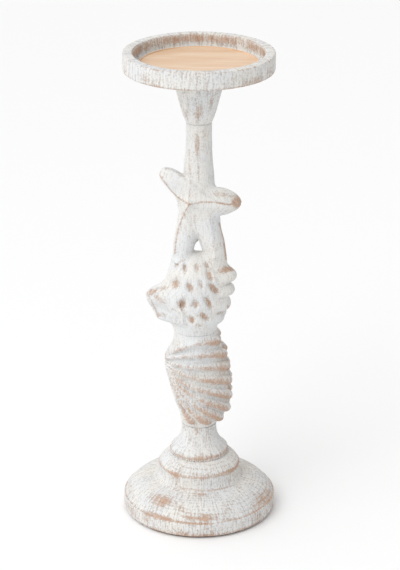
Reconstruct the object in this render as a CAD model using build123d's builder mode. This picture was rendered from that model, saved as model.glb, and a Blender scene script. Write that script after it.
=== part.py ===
from build123d import *
import math
import os

# A carved and turned wooden candlestick: felted base, bell pedestal, a scallop, a conch and a
# starfish stacked as the stem, a short shaft, a cup-shaped capital and a dish with a drip plate.
# Millimetres, +Z up. The origin is the middle of the foot; the carved fronts face -Y.

# ---- Driving dimensions, from the table up ----
felt_thickness = 1.5
felt_inset = 3.0            # felt stops this far inside the rim
base_diameter = 128.0       # a five-inch base
band_height = 12.6          # upright edge of the base
edge_rounding = 1.2
dome_height = 15.4
dome_bulge = 3.6
ring_diameter = 68.6        # step between the dome and the bell
ring_side_height = 12.0
ring_slope_height = 9.5
pedestal_height = 27.0
bell_diameter = 49.2
bell_edge_height = 4.0
bell_undercut = 1.0         # bell is narrower where it sits on the ring
ring_flat = 1.0             # flat of the ring that shows round the bell
cove_depth = 3.5
foot_neck_radius = 14.8     # where the bell meets the scallop
scallop_height = 85.0
scallop_depth = 46.0        # front to back
rib_count = 10
rib_pitch = 11.0            # degrees between neighbouring ribs
rib_overlap = 1.15          # ribs are this much wider than their pitch, so that they merge
first_rib = 25.0            # degrees above level
umbo_height = 0.645         # of the scallop's height
umbo_radius = 28.0          # how far the umbo stands out to the left
neck_radius = 17.0          # where the scallop meets the conch
neck_shift = -2.9           # the stem wanders to the left there
conch_height = 59.0         # neck to the shoulders that carry the starfish
crown_height = 9.6          # dome between the starfish's feet
crown_radius = 18.3
conch_radius = 25.0
knobs_per_row = 9
knob_radius = 6.2
knob_stagger = 20.0         # degrees between the knobs of neighbouring rows
lip_reach = 43.4            # flared lip, out to the left
stem_height = 120.0         # starfish and shaft together
shaft_radius = 10.4
star_height = 53.0          # middle of the starfish above its feet
star_shift = -8.0
star_yaw = 15.0             # degrees the starfish turns towards the left
right_arm = 43.0
left_arm = 34.0
left_arm_angle = 137.0      # degrees round from the right arm
left_leg_width = 16.4
right_leg_width = 18.8
foot_spread = 26.8          # between the middles of the two feet
foot_setback = 2.0          # the feet stand a little behind the middle
hip_offset = 1.6            # each leg starts this far to its own side of the starfish's middle
shaft_swell = 1.6           # the shaft is thicker where it grows out of the starfish
capital_height = 43.3
capital_top_radius = 22.0
dish_diameter = 121.2
dish_height = 14.7
well_diameter = 104.6       # takes a four-inch pillar candle
well_depth = 10.6
plate_gap = 4.7             # loose plate to the wall of the well
plate_thickness = 0.8
plate_lip = 0.8

# ---- Joints between the blocks ----
glue_clearance = 0.05       # radial, dowel or tenon in its hole
end_clearance = 0.5         # air at the bottom of a blind hole
screw_clearance = 0.4       # radial, base screw through base and washer
dish_screw_clearance = 0.3  # radial, dish screw through the dish
head_clearance = 0.1        # radial, dish screw's head in its countersink
dowel_chamfer = 0.8
leg_dowel_chamfer = 0.5
screw_point = 0.2           # radius of the dish screw's tip
tenon_radius = 12.0
tenon_length = 10.0
foot_dowel_radius = 5.0     # pedestal to scallop
foot_dowel_length = 36.0
neck_dowel_radius = 5.0     # scallop to conch
neck_dowel_length = 36.0
leg_dowel_radius = 2.5      # conch to starfish
leg_dowel_length = 20.0
shaft_dowel_radius = 4.0    # shaft to capital
shaft_dowel_length = 30.0
dish_screw_radius = 2.2
dish_screw_length = 35.0
dish_screw_head_radius = 4.4
base_screw_radius = 4.0
base_screw_tip = 18.0       # reach into the bell above the base
base_screw_head = 13.0      # across flats
base_screw_head_height = 5.0
washer_radius = 10.0
washer_thickness = 1.6
counterbore_radius = 11.5
counterbore_depth = 8.0

# ---- Levels ----
base_radius = base_diameter / 2
ring_radius = ring_diameter / 2
bell_radius = bell_diameter / 2
z_base = felt_thickness
z_band = z_base + band_height
z_dome = z_band + dome_height
z_ring = z_dome + ring_side_height
z_bell = z_ring + ring_slope_height
z_scallop = z_bell + pedestal_height
z_conch = z_scallop + scallop_height
z_feet = z_conch + conch_height
z_star = z_feet + star_height
z_capital = z_feet + stem_height
z_dish = z_capital + capital_height
z_top = z_dish + dish_height
z_floor = z_top - well_depth
well_radius = well_diameter / 2
plate_radius = well_radius - plate_gap
shaft_length = z_capital - z_star
z_umbo = z_scallop + umbo_height * scallop_height

os.makedirs("parts", exist_ok=True)


def export(builder, name):
    """Label a finished piece and write it to its own file."""
    builder.part.label = name
    export_step(builder.part, "parts/" + name + ".step")


def blind_hole(x, y, z, radius, depth, upwards):
    """Cut a round blind hole whose mouth is at x, y, z into the part being built."""
    with Locations(Location((x, y, z), (180 if upwards else 0, 0, 0))):
        Hole(radius + glue_clearance, depth=depth + end_clearance)


def station(plane, half_width, half_depth):
    """Return one elliptical station of a loft."""
    with BuildSketch(plane) as section:
        Ellipse(half_width, half_depth)
    return section.sketch


def level_station(x, y, z, half_width, half_depth):
    """Return a level elliptical station of a loft around the point x, y, z."""
    return station(Plane((x, y, z)), half_width, half_depth)


# ---- Felt under the base ----
with BuildPart() as felt_pad:
    with BuildSketch():
        Circle(base_radius - felt_inset)
    extrude(amount=felt_thickness)
export(felt_pad, "felt_pad")

# ---- Base: upright band, low dome and stepped ring, turned in one piece ----
with BuildPart() as base:
    with BuildSketch(Plane.XZ):
        with BuildLine():
            Polyline((0, z_base), (base_radius, z_base), (base_radius, z_band))
            SagittaArc((base_radius, z_band), (ring_radius, z_dome), -dome_bulge)
            Polyline(
                (ring_radius, z_dome),
                (ring_radius, z_ring),
                (bell_radius + ring_flat, z_bell),
                (0, z_bell),
                (0, z_base),
            )
        make_face()
        fillet(vertices().group_by(Axis.X)[-1], radius=edge_rounding)
    revolve(axis=Axis.Z)
    blind_hole(0, 0, z_bell, tenon_radius, tenon_length, False)
    with Locations(Location((0, 0, z_base), (180, 0, 0))):
        CounterBoreHole(base_screw_radius + screw_clearance, counterbore_radius, counterbore_depth)
export(base, "base")

# ---- Screw and washer that draw the pedestal down on the base ----
z_washer = z_base + counterbore_depth - washer_thickness
z_screw_tip = z_bell + base_screw_tip - tenon_length

with BuildPart() as base_washer:
    with BuildSketch(Plane.XY.offset(z_washer)):
        Circle(washer_radius)
        Circle(base_screw_radius + screw_clearance, mode=Mode.SUBTRACT)
    extrude(amount=washer_thickness)
export(base_washer, "base_washer")

with BuildPart() as base_screw:
    with BuildSketch(Plane.XY.offset(z_washer - base_screw_head_height)):
        RegularPolygon(base_screw_head / 2, 6, major_radius=False)
    extrude(amount=base_screw_head_height)
    with BuildSketch(Plane.XY.offset(z_washer)):
        Circle(base_screw_radius)
    extrude(amount=z_screw_tip - z_washer)
    chamfer(edges().group_by(Axis.Z)[-1], length=base_screw_radius / 2)
export(base_screw, "base_screw")

# ---- Pedestal: bell with a cove, and the tenon that seats in the base ----
with BuildPart() as pedestal:
    with BuildSketch(Plane.XZ):
        with BuildLine():
            Polyline(
                (0, z_bell - tenon_length),
                (tenon_radius, z_bell - tenon_length),
                (tenon_radius, z_bell),
                (bell_radius - bell_undercut, z_bell),
                (bell_radius, z_bell + bell_edge_height),
            )
            SagittaArc(
                (bell_radius, z_bell + bell_edge_height),
                (foot_neck_radius, z_scallop),
                cove_depth,
            )
            Polyline((foot_neck_radius, z_scallop), (0, z_scallop), (0, z_bell - tenon_length))
        make_face()
    revolve(axis=Axis.Z)
    blind_hole(0, 0, z_bell - tenon_length, base_screw_radius, base_screw_tip, True)
    blind_hole(0, 0, z_scallop, foot_dowel_radius, foot_dowel_length / 3, False)
export(pedestal, "pedestal")

with BuildPart() as foot_dowel:
    with BuildSketch(Plane.XY.offset(z_scallop - foot_dowel_length / 3)):
        Circle(foot_dowel_radius)
    extrude(amount=foot_dowel_length)
    chamfer(edges(), length=dowel_chamfer)
export(foot_dowel, "foot_dowel")


# ---- Scallop: a closed shell on its side, ribs fanning from the umbo on the left ----
def core_station(height, shift, half_width, half_depth):
    """Return a station of the shell's core, in shares of the scallop's height, neck shift and depth."""
    x = shift * neck_shift
    z = z_scallop + height * scallop_height
    return level_station(x, 0, z, half_width * scallop_depth, half_depth * scallop_depth)


def shell_rib(angle):
    """Loft one rib of the shell from the umbo out to the margin."""
    reach = 2.02 * umbo_radius * (1 + 0.17 * math.sin(math.radians(15 - 2.2 * angle)))
    half_width = reach * math.sin(math.radians(rib_pitch / 2)) * rib_overlap
    half_depth = scallop_depth / 2
    turn = math.radians(angle)
    umbo = Vector(-umbo_radius, 0, z_umbo)
    outwards = Vector(math.cos(turn), 0, math.sin(turn))
    across = Vector(-math.sin(turn), 0, math.cos(turn))
    stations = []
    for along, width, depth in [(0.06, 0.3, 0.4), (0.45, 0.62, 1.0), (0.85, 1.0, 0.74), (1.0, 0.5, 0.3)]:
        plane = Plane(umbo + outwards * (along * reach), across, outwards)
        stations.append(station(plane, width * half_width, depth * half_depth))
    loft(stations)


with BuildPart() as scallop:
    loft(
        [
            level_station(0, 0, z_scallop, foot_neck_radius, foot_neck_radius),
            core_station(0.2, -0.17, 0.39, 0.36),
            core_station(0.5, 0.86, 0.50, 0.44),
            core_station(0.8, 0.86, 0.45, 0.40),
            level_station(neck_shift, 0, z_conch, neck_radius, neck_radius),
        ]
    )
    for rib in range(rib_count):
        shell_rib(first_rib - rib * rib_pitch)
    split(bisect_by=Plane.XY.offset(z_scallop))
    blind_hole(0, 0, z_scallop, foot_dowel_radius, foot_dowel_length * 2 / 3, True)
    blind_hole(neck_shift, 0, z_conch, neck_dowel_radius, neck_dowel_length / 2, False)
export(scallop, "scallop")

with BuildPart() as neck_dowel:
    with BuildSketch(Plane((neck_shift, 0, z_conch - neck_dowel_length / 2))):
        Circle(neck_dowel_radius)
    extrude(amount=neck_dowel_length)
    chamfer(edges(), length=dowel_chamfer)
export(neck_dowel, "neck_dowel")


# ---- Starfish and shaft: two arms are the legs, two reach out, one runs up into the shaft ----
def star_point(length, angle):
    """Point in the starfish's own plane, measured from its middle."""
    sideways = length * math.cos(math.radians(angle))
    yaw = math.radians(star_yaw)
    return (
        star_shift + sideways * math.cos(yaw),
        -sideways * math.sin(yaw),
        z_star + length * math.sin(math.radians(angle)),
    )


def star_arm(length, angle, half_width, half_depth):
    """Loft a blunt arm of the starfish from its middle to its tip."""
    middle = Vector(*star_point(0, 0))
    outwards = (Vector(*star_point(length, angle)) - middle).normalized()
    across = Vector(*star_point(1, angle + 90)) - middle
    stations = []
    for share, width, depth in [(0.0, 1.0, 1.0), (0.55, 0.92, 0.9), (0.85, 0.62, 0.66), (1.0, 0.25, 0.35)]:
        plane = Plane(middle + outwards * (share * length), across, outwards)
        stations.append(station(plane, width * half_width, depth * half_depth))
    loft(stations)


def star_leg(side, width):
    """Loft a leg of the starfish from its middle down to the conch's shoulder."""
    foot = side * foot_spread / 2
    knee = 0.45 * star_shift + 0.5 * foot
    z_hip = z_star + 0.08 * star_height
    loft(
        [
            level_station(star_shift + side * hip_offset, 0, z_hip, 0.91 * shaft_radius, 0.96 * shaft_radius),
            level_station(knee, foot_setback / 2, z_feet + star_height / 2, width / 2, 0.91 * shaft_radius),
            level_station(foot, foot_setback, z_feet, width / 2, 0.87 * shaft_radius),
        ]
    )


with BuildPart() as starfish_shaft:
    with BuildSketch(Plane.XZ):
        with BuildLine():
            Polyline(
                (0, z_star),
                (shaft_radius + shaft_swell, z_star),
                (shaft_radius + shaft_swell, z_star + 0.3 * shaft_length),
                (shaft_radius, z_star + 0.6 * shaft_length),
                (shaft_radius, z_capital),
                (0, z_capital),
                (0, z_star),
            )
        make_face()
    revolve(axis=Axis.Z)
    star_arm(right_arm, 0, 0.27 * right_arm, 0.22 * right_arm)
    star_arm(left_arm, left_arm_angle, 0.28 * left_arm, 0.26 * left_arm)
    star_leg(-1, left_leg_width)
    star_leg(1, right_leg_width)
    for side in (-1, 1):
        foot = side * foot_spread / 2
        blind_hole(foot, foot_setback, z_feet, leg_dowel_radius, leg_dowel_length / 2, True)
    blind_hole(0, 0, z_capital, shaft_dowel_radius, shaft_dowel_length * 2 / 3, False)
export(starfish_shaft, "starfish_shaft")

with BuildPart() as leg_dowels:
    with BuildSketch(Plane((0, foot_setback, z_feet - leg_dowel_length / 2))):
        with Locations((-foot_spread / 2, 0), (foot_spread / 2, 0)):
            Circle(leg_dowel_radius)
    extrude(amount=leg_dowel_length)
    chamfer(edges(), length=leg_dowel_chamfer)
export(leg_dowels, "leg_dowels")

with BuildPart() as shaft_dowel:
    with BuildSketch(Plane.XY.offset(z_capital - shaft_dowel_length * 2 / 3)):
        Circle(shaft_dowel_radius)
    extrude(amount=shaft_dowel_length)
    chamfer(edges(), length=dowel_chamfer)
export(shaft_dowel, "shaft_dowel")


# ---- Conch: knobbly whorl with a flared lip to the left, saddled for the starfish's feet ----
def knob_row(share, girth, first_angle):
    """Set one row of knobs around the whorl, at shares of its height and radius."""
    with Locations((0, 0, z_conch + share * conch_height)):
        with PolarLocations(girth * conch_radius, knobs_per_row, first_angle):
            Sphere(knob_radius)


def whorl_station(share, shift, girth):
    """Return a round station of the whorl, in shares of its height, neck shift and radius."""
    radius = girth * conch_radius
    return level_station(shift * neck_shift, 0, z_conch + share * conch_height, radius, radius)


def lip_station(share, reach, half_depth, half_height):
    """Return an upright station of the lip, in shares of the conch's height, reach and radius."""
    centre = (-reach * lip_reach, 0, z_conch + share * conch_height)
    plane = Plane(centre, (0, 1, 0), (-1, 0, 0))
    return station(plane, half_depth * conch_radius, half_height * conch_radius)


with BuildPart() as conch:
    loft(
        [
            level_station(neck_shift, 0, z_conch, neck_radius, neck_radius),
            whorl_station(0.13, 0.7, 0.76),
            whorl_station(0.5, 0.0, 0.98),
            whorl_station(0.85, -0.17, 0.92),
            whorl_station(1.0, 0.0, 0.86),
        ]
    )
    with Locations((0, 0, z_feet + crown_height - crown_radius)):
        Sphere(crown_radius)
    knob_row(0.82, 1.0, 0)
    knob_row(0.61, 0.94, knob_stagger)
    knob_row(0.41, 0.82, 0)
    knob_row(0.22, 0.66, knob_stagger)
    loft(
        [
            lip_station(0.50, 0.30, 0.60, 0.76),
            lip_station(0.42, 0.76, 0.36, 0.56),
            lip_station(0.50, 1.00, 0.12, 0.22),
        ]
    )
    blind_hole(neck_shift, 0, z_conch, neck_dowel_radius, neck_dowel_length / 2, True)
    for side in (-1, 1):
        foot = side * foot_spread / 2
        blind_hole(foot, foot_setback, z_feet, leg_dowel_radius, leg_dowel_length / 2, False)
    add(starfish_shaft.part, mode=Mode.SUBTRACT)
export(conch, "conch")

# ---- Capital: tapering cup between the shaft and the dish ----
with BuildPart() as capital:
    with BuildSketch(Plane.XZ):
        with BuildLine():
            Spline(
                (shaft_radius, z_capital),
                (0.2 * shaft_radius + 0.46 * capital_top_radius, z_capital + 0.1 * capital_height),
                (0.74 * capital_top_radius, z_capital + 0.41 * capital_height),
                (capital_top_radius, z_dish),
            )
            Polyline((capital_top_radius, z_dish), (0, z_dish), (0, z_capital), (shaft_radius, z_capital))
        make_face()
    revolve(axis=Axis.Z)
    blind_hole(0, 0, z_capital, shaft_dowel_radius, shaft_dowel_length / 3, True)
    with Locations((0, 0, z_floor)):
        CounterSinkHole(
            dish_screw_radius + glue_clearance,
            dish_screw_head_radius + head_clearance,
            depth=dish_screw_length + end_clearance,
        )
export(capital, "capital")

# ---- Dish, its screw, and the loose drip plate that hides the screw ----
with BuildPart() as candle_dish:
    with BuildSketch(Plane.XY.offset(z_dish)):
        Circle(dish_diameter / 2)
    extrude(amount=dish_height)
    with Locations((0, 0, z_top)):
        Hole(well_radius, depth=well_depth)
    fillet(edges().filter_by(GeomType.CIRCLE).sort_by(SortBy.RADIUS)[-2:], radius=edge_rounding)
    with Locations((0, 0, z_floor)):
        CounterSinkHole(dish_screw_radius + dish_screw_clearance, dish_screw_head_radius + head_clearance)
export(candle_dish, "candle_dish")

with BuildPart() as dish_screw:
    with BuildSketch(Plane.XZ):
        with BuildLine():
            Polyline(
                (0, z_floor),
                (dish_screw_head_radius, z_floor),
                (dish_screw_radius, z_floor - dish_screw_head_radius + dish_screw_radius),
                (dish_screw_radius, z_floor - dish_screw_length + 2 * dish_screw_radius),
                (screw_point, z_floor - dish_screw_length),
                (0, z_floor - dish_screw_length),
                (0, z_floor),
            )
        make_face()
    revolve(axis=Axis.Z)
    with BuildSketch(Plane.XY.offset(z_floor)):
        Rectangle(0.9 * dish_screw_head_radius, 0.2 * dish_screw_head_radius)
        Rectangle(0.2 * dish_screw_head_radius, 0.9 * dish_screw_head_radius)
    extrude(amount=-0.3 * dish_screw_head_radius, mode=Mode.SUBTRACT)
export(dish_screw, "dish_screw")

with BuildPart() as drip_plate:
    with BuildSketch(Plane.XY.offset(z_floor)):
        Circle(plate_radius)
    extrude(amount=plate_thickness)
    with BuildSketch(Plane.XY.offset(z_floor + plate_thickness)):
        Circle(plate_radius)
        Circle(plate_radius - plate_lip, mode=Mode.SUBTRACT)
    extrude(amount=plate_lip)
export(drip_plate, "drip_plate")
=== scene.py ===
"""Looks of a carved and turned candlestick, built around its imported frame.

The stem is a scallop, a conch and a starfish carved from glued blocks, the rest is turned. All of
it is wood under a brushed whitewash that is rubbed through on the edges. Lengths are millimetres
in the frame's own directions, +Z up and the carved fronts facing -Y, and become metres only when a
mesh is written.
"""

import logging
import math
from dataclasses import dataclass, field
from enum import Enum
from typing import Any, Callable, Sequence

import bpy
import numpy as np
import openvdb
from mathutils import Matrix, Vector

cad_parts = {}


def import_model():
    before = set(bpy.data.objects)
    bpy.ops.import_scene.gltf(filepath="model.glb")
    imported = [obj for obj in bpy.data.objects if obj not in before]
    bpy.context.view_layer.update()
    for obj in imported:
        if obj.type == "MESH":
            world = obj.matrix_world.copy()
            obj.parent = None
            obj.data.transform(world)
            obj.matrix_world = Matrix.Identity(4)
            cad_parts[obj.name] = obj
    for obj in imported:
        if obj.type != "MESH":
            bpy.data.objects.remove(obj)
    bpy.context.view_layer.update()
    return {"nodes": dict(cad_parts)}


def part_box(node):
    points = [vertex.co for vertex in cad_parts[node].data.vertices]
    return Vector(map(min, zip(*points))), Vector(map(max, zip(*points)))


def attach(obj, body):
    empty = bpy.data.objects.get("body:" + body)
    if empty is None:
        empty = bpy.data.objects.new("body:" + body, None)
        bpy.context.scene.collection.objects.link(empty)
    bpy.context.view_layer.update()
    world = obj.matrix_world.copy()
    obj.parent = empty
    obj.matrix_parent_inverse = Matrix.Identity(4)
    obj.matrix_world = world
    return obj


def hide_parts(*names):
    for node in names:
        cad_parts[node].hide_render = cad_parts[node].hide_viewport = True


log = logging.getLogger("candlestick")
MM = 0.001
LOOK = 0.407  # how much lower a point shows for each millimetre that it stands forward
TUCK = 0.02  # how far a finished head stays inside its frame node
Array = np.ndarray
Point = tuple[float, float, float]
Outline = list[tuple[float, float]]


class Slot(Enum):
    """Names of the material slots."""

    WOOD = "whitewashed_wood"
    DOWEL = "beech"
    SCREW = "plated_steel"
    PLATE = "plate_metal"
    FELT = "felt"


# ---------------------------------------------------------------- numbers and fields


def smooth_min(a: Array, b: Array, reach: float) -> Array:
    """Join two signed fields with a fillet.

    Args:
        a: First field, negative inside.
        b: Second field, negative inside.
        reach: Size of the fillet in millimetres.

    Returns:
        The field of the joined shape.
    """
    mix = np.clip(0.5 + 0.5 * (b - a) / reach, 0.0, 1.0)
    return b + (a - b) * mix - reach * mix * (1.0 - mix)


def smooth_max(a: Array, b: Array, reach: float) -> Array:
    """Keep what two signed fields share, with a rounded edge of size reach."""
    return -smooth_min(-a, -b, reach)


def smooth_step(low: float, high: float, value: Array) -> Array:
    """Rise smoothly from 0 at low to 1 at high."""
    share = np.clip((value - low) / (high - low), 0.0, 1.0)
    return share * share * (3.0 - 2.0 * share)


def lattice_noise(points: Array, size: float, seed: int) -> Array:
    """Smooth noise from -1 to 1 on a cubic lattice.

    Args:
        points: Places, one row each, in millimetres.
        size: Lattice spacing in millimetres.
        seed: Fixed seed of the lattice's values.

    Returns:
        One value for each place.
    """
    draw = np.random.default_rng(seed)
    order = np.tile(draw.permutation(256), 2)
    values = draw.uniform(-1.0, 1.0, 256)
    scaled = points / size
    cell = np.floor(scaled).astype(np.int64)
    part = scaled - cell
    part = part * part * (3.0 - 2.0 * part)
    total = np.zeros(len(points))
    for corner in range(8):
        step = np.array([corner & 1, corner >> 1 & 1, corner >> 2 & 1])
        i, j, k = ((cell + step) & 255).T
        weight = np.prod(np.where(step, part, 1.0 - part), axis=1)
        total += weight * values[order[order[order[i] + j] + k]]
    return total


def layered_noise(points: Array, size: float, layers: int, seed: int) -> Array:
    """Sum of lattice noises, each half the size and half the strength of the one before."""
    total = np.zeros(len(points))
    for layer in range(layers):
        total += lattice_noise(points, size / 2**layer, seed + layer) / 2**layer
    return total / 1.5


def blend_between(at: Array, stations: Sequence[tuple[float, ...]], column: int) -> Array:
    """Read one size of a shape that changes smoothly between stations.

    Args:
        at: Where to read, in the units of the stations' first numbers.
        stations: Rising places, each with the sizes there.
        column: Which size to read.

    Returns:
        The size at each place, by monotone cubic steps.
    """
    places = np.array([s[0] for s in stations])
    sizes = np.array([s[column] for s in stations])
    slopes = np.gradient(sizes, places)
    index = np.clip(np.searchsorted(places, at) - 1, 0, len(places) - 2)
    span = places[index + 1] - places[index]
    t = np.clip((at - places[index]) / span, 0.0, 1.0)
    rise = (2 * t**3 - 3 * t**2 + 1) * sizes[index] + (3 * t**2 - 2 * t**3) * sizes[index + 1]
    lean = (t**3 - 2 * t**2 + t) * slopes[index] + (t**3 - t**2) * slopes[index + 1]
    return rise + span * lean


# ---------------------------------------------------------------- meshes


@dataclass
class Skin:
    """A closed mesh in millimetres, with what its finish needs at each point.

    Attributes:
        points: Places of the points.
        faces: Corner numbers of the faces, four to a row; a triangle repeats its last corner.
        wear: How far the paint is rubbed away, 0 to 1; on the turned base it also holds a band of painted shade.
        grain: Place along the brush strokes, across and around them, in millimetres.
    """

    points: Array
    faces: Array
    wear: Array = field(default_factory=lambda: np.zeros(0))
    grain: Array = field(default_factory=lambda: np.zeros((0, 3)))

    def normals(self) -> Array:
        """Return outward unit normals at the points."""
        a, b, c, d = (self.points[self.faces[:, k]] for k in range(4))
        across = np.cross(c - a, d - b)
        total = np.zeros_like(self.points)
        for k in range(4):
            np.add.at(total, self.faces[:, k], across)
        return total / np.maximum(np.linalg.norm(total, axis=1, keepdims=True), 1e-9)

    def smoothed(self, values: Array, rounds: int) -> Array:
        """Average values with their neighbours' a number of times.

        Args:
            values: One row for each point.
            rounds: How many times.

        Returns:
            The averaged values.
        """
        starts = self.faces.ravel()
        ends = np.roll(self.faces, -1, axis=1).ravel()
        both = np.concatenate([starts, ends]), np.concatenate([ends, starts])
        count = np.maximum(np.bincount(both[0], minlength=len(self.points)), 1)
        flat = values.reshape(len(values), -1).copy()
        for _ in range(rounds):
            for column in range(flat.shape[1]):
                total = np.bincount(both[0], flat[both[1], column], len(self.points))
                flat[:, column] = 0.5 * flat[:, column] + 0.5 * total / count
        return flat.reshape(values.shape)

    def convexity(self, rounds: int) -> Array:
        """Return how far each point stands out of its smoothed surroundings, in millimetres."""
        low = self.smoothed(self.points, rounds)
        return np.sum((self.points - low) * self.normals(), axis=1)

    def push(self, heights: Array) -> None:
        """Move the points outwards along their normals.

        Args:
            heights: How far, in millimetres, one for each point.
        """
        self.points = self.points + self.normals() * heights[:, None]

    def to_object(self, name: str) -> bpy.types.Object:
        """Write the mesh into the scene in metres, with its finish attributes.

        Args:
            name: Name of the piece.

        Returns:
            The new object, at the origin.
        """
        loops: list[Any] = []
        for row in self.faces.tolist():
            loops.append(row if row[2] != row[3] else row[:3])
        mesh = bpy.data.meshes.new(name)
        mesh.from_pydata((self.points * MM).tolist(), [], loops)
        mesh.update()
        mesh.shade_smooth()
        wear = mesh.attributes.new("wear", "FLOAT", "POINT")
        wear.data.foreach_set("value", self.wear.astype(np.float32))
        grain = mesh.attributes.new("grain", "FLOAT_VECTOR", "POINT")
        grain.data.foreach_set("vector", (self.grain * MM).astype(np.float32).ravel())
        piece = bpy.data.objects.new(name, mesh)
        bpy.context.scene.collection.objects.link(piece)
        return piece


@dataclass
class Block:
    """A block of wood that a signed field carves.

    Attributes:
        low: Lowest corner.
        high: Highest corner.
        grit: Spacing of the samples, which is about the size of the mesh's faces.
    """

    low: Point
    high: Point
    grit: float

    @classmethod
    def around(cls, low: Vector, high: Vector, below: Point, above: Point, grit: float) -> "Block":
        """Return a block round a frame node's box.

        Args:
            low: Lowest corner of the box, in metres.
            high: Highest corner.
            below: Room left beyond the lowest corner, in millimetres.
            above: Room left beyond the highest corner.
            grit: Spacing of the samples.

        Returns:
            The block.
        """
        return cls(
            tuple(place / MM - room for place, room in zip(low, below)),
            tuple(place / MM + room for place, room in zip(high, above)),
            grit,
        )

    def axes(self) -> tuple[Array, Array, Array]:
        """Return the sample places along X, Y and Z, shaped to combine into a grid."""
        x, y, z = (np.arange(a, b, self.grit, dtype=np.float32) for a, b in zip(self.low, self.high))
        return x[:, None, None], y[None, :, None], z[None, None, :]

    def carve(self, shape: Callable[[Array, Array, Array], Array]) -> Skin:
        """Mesh the surface where a field is zero.

        Args:
            shape: The field, negative inside.

        Returns:
            The closed surface.
        """
        values = np.ascontiguousarray(shape(*self.axes()), dtype=np.float32)
        reach = 4 * self.grit
        grid = openvdb.FloatGrid(reach)
        grid.copyFromArray(np.clip(values, -reach, reach))
        points, quads = grid.convertToQuads(isovalue=0.0)
        places = points.astype(float) * self.grit + np.array(self.low)
        return Skin(places, quads.astype(np.int64))

    def solid(self, points: Array, corners: Array) -> Array:
        """Turn a closed mesh into a field on the block's samples.

        Args:
            points: Places in millimetres.
            corners: Triangles, as rows of point numbers.

        Returns:
            The field, negative inside and cut off a few samples from the surface.
        """
        band = 8.0
        placed = ((points - np.array(self.low)) / self.grit).astype(np.float32)
        grid = openvdb.FloatGrid.createLevelSetFromPolygons(
            placed, triangles=corners.astype(np.uint32), transform=openvdb.createLinearTransform(1.0), halfWidth=band
        )
        sizes = [len(axis.ravel()) for axis in self.axes()]
        values = np.full(sizes, band, dtype=np.float32)
        grid.copyToArray(values)
        return values * self.grit


# ---------------------------------------------------------------- finishes


def linear(code: str) -> tuple[float, float, float, float]:
    """Turn an sRGB hex colour into a linear RGBA colour.

    Args:
        code: Six hex digits.

    Returns:
        Linear red, green, blue and full alpha.
    """
    channels = [int(code[k : k + 2], 16) / 255 for k in (0, 2, 4)]
    red, green, blue = (c / 12.92 if c <= 0.04045 else ((c + 0.055) / 1.055) ** 2.4 for c in channels)
    return red, green, blue, 1.0


def add_node(
    tree: bpy.types.NodeTree,
    kind: str,
    settings: dict[str, Any] | None = None,
    links: dict[int | str, Any] | None = None,
) -> bpy.types.Node:
    """Add a node, set it up and link or fill its inputs.

    Args:
        tree: The node tree.
        kind: The node's type name.
        settings: Values of the node's own properties.
        links: For each input, an output socket to link or a constant.

    Returns:
        The new node.
    """
    node = tree.nodes.new(kind)
    for name, value in (settings or {}).items():
        setattr(node, name, value)
    for key, value in (links or {}).items():
        if isinstance(value, bpy.types.NodeSocket):
            tree.links.new(value, node.inputs[key])
        else:
            node.inputs[key].default_value = value
    return node


def calc(tree: bpy.types.NodeTree, kind: str, a: Any, b: Any = 0.0, c: Any = 0.0) -> bpy.types.NodeSocket:
    """Return the result of one Math node."""
    return add_node(tree, "ShaderNodeMath", {"operation": kind}, {0: a, 1: b, 2: c}).outputs[0]


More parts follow.
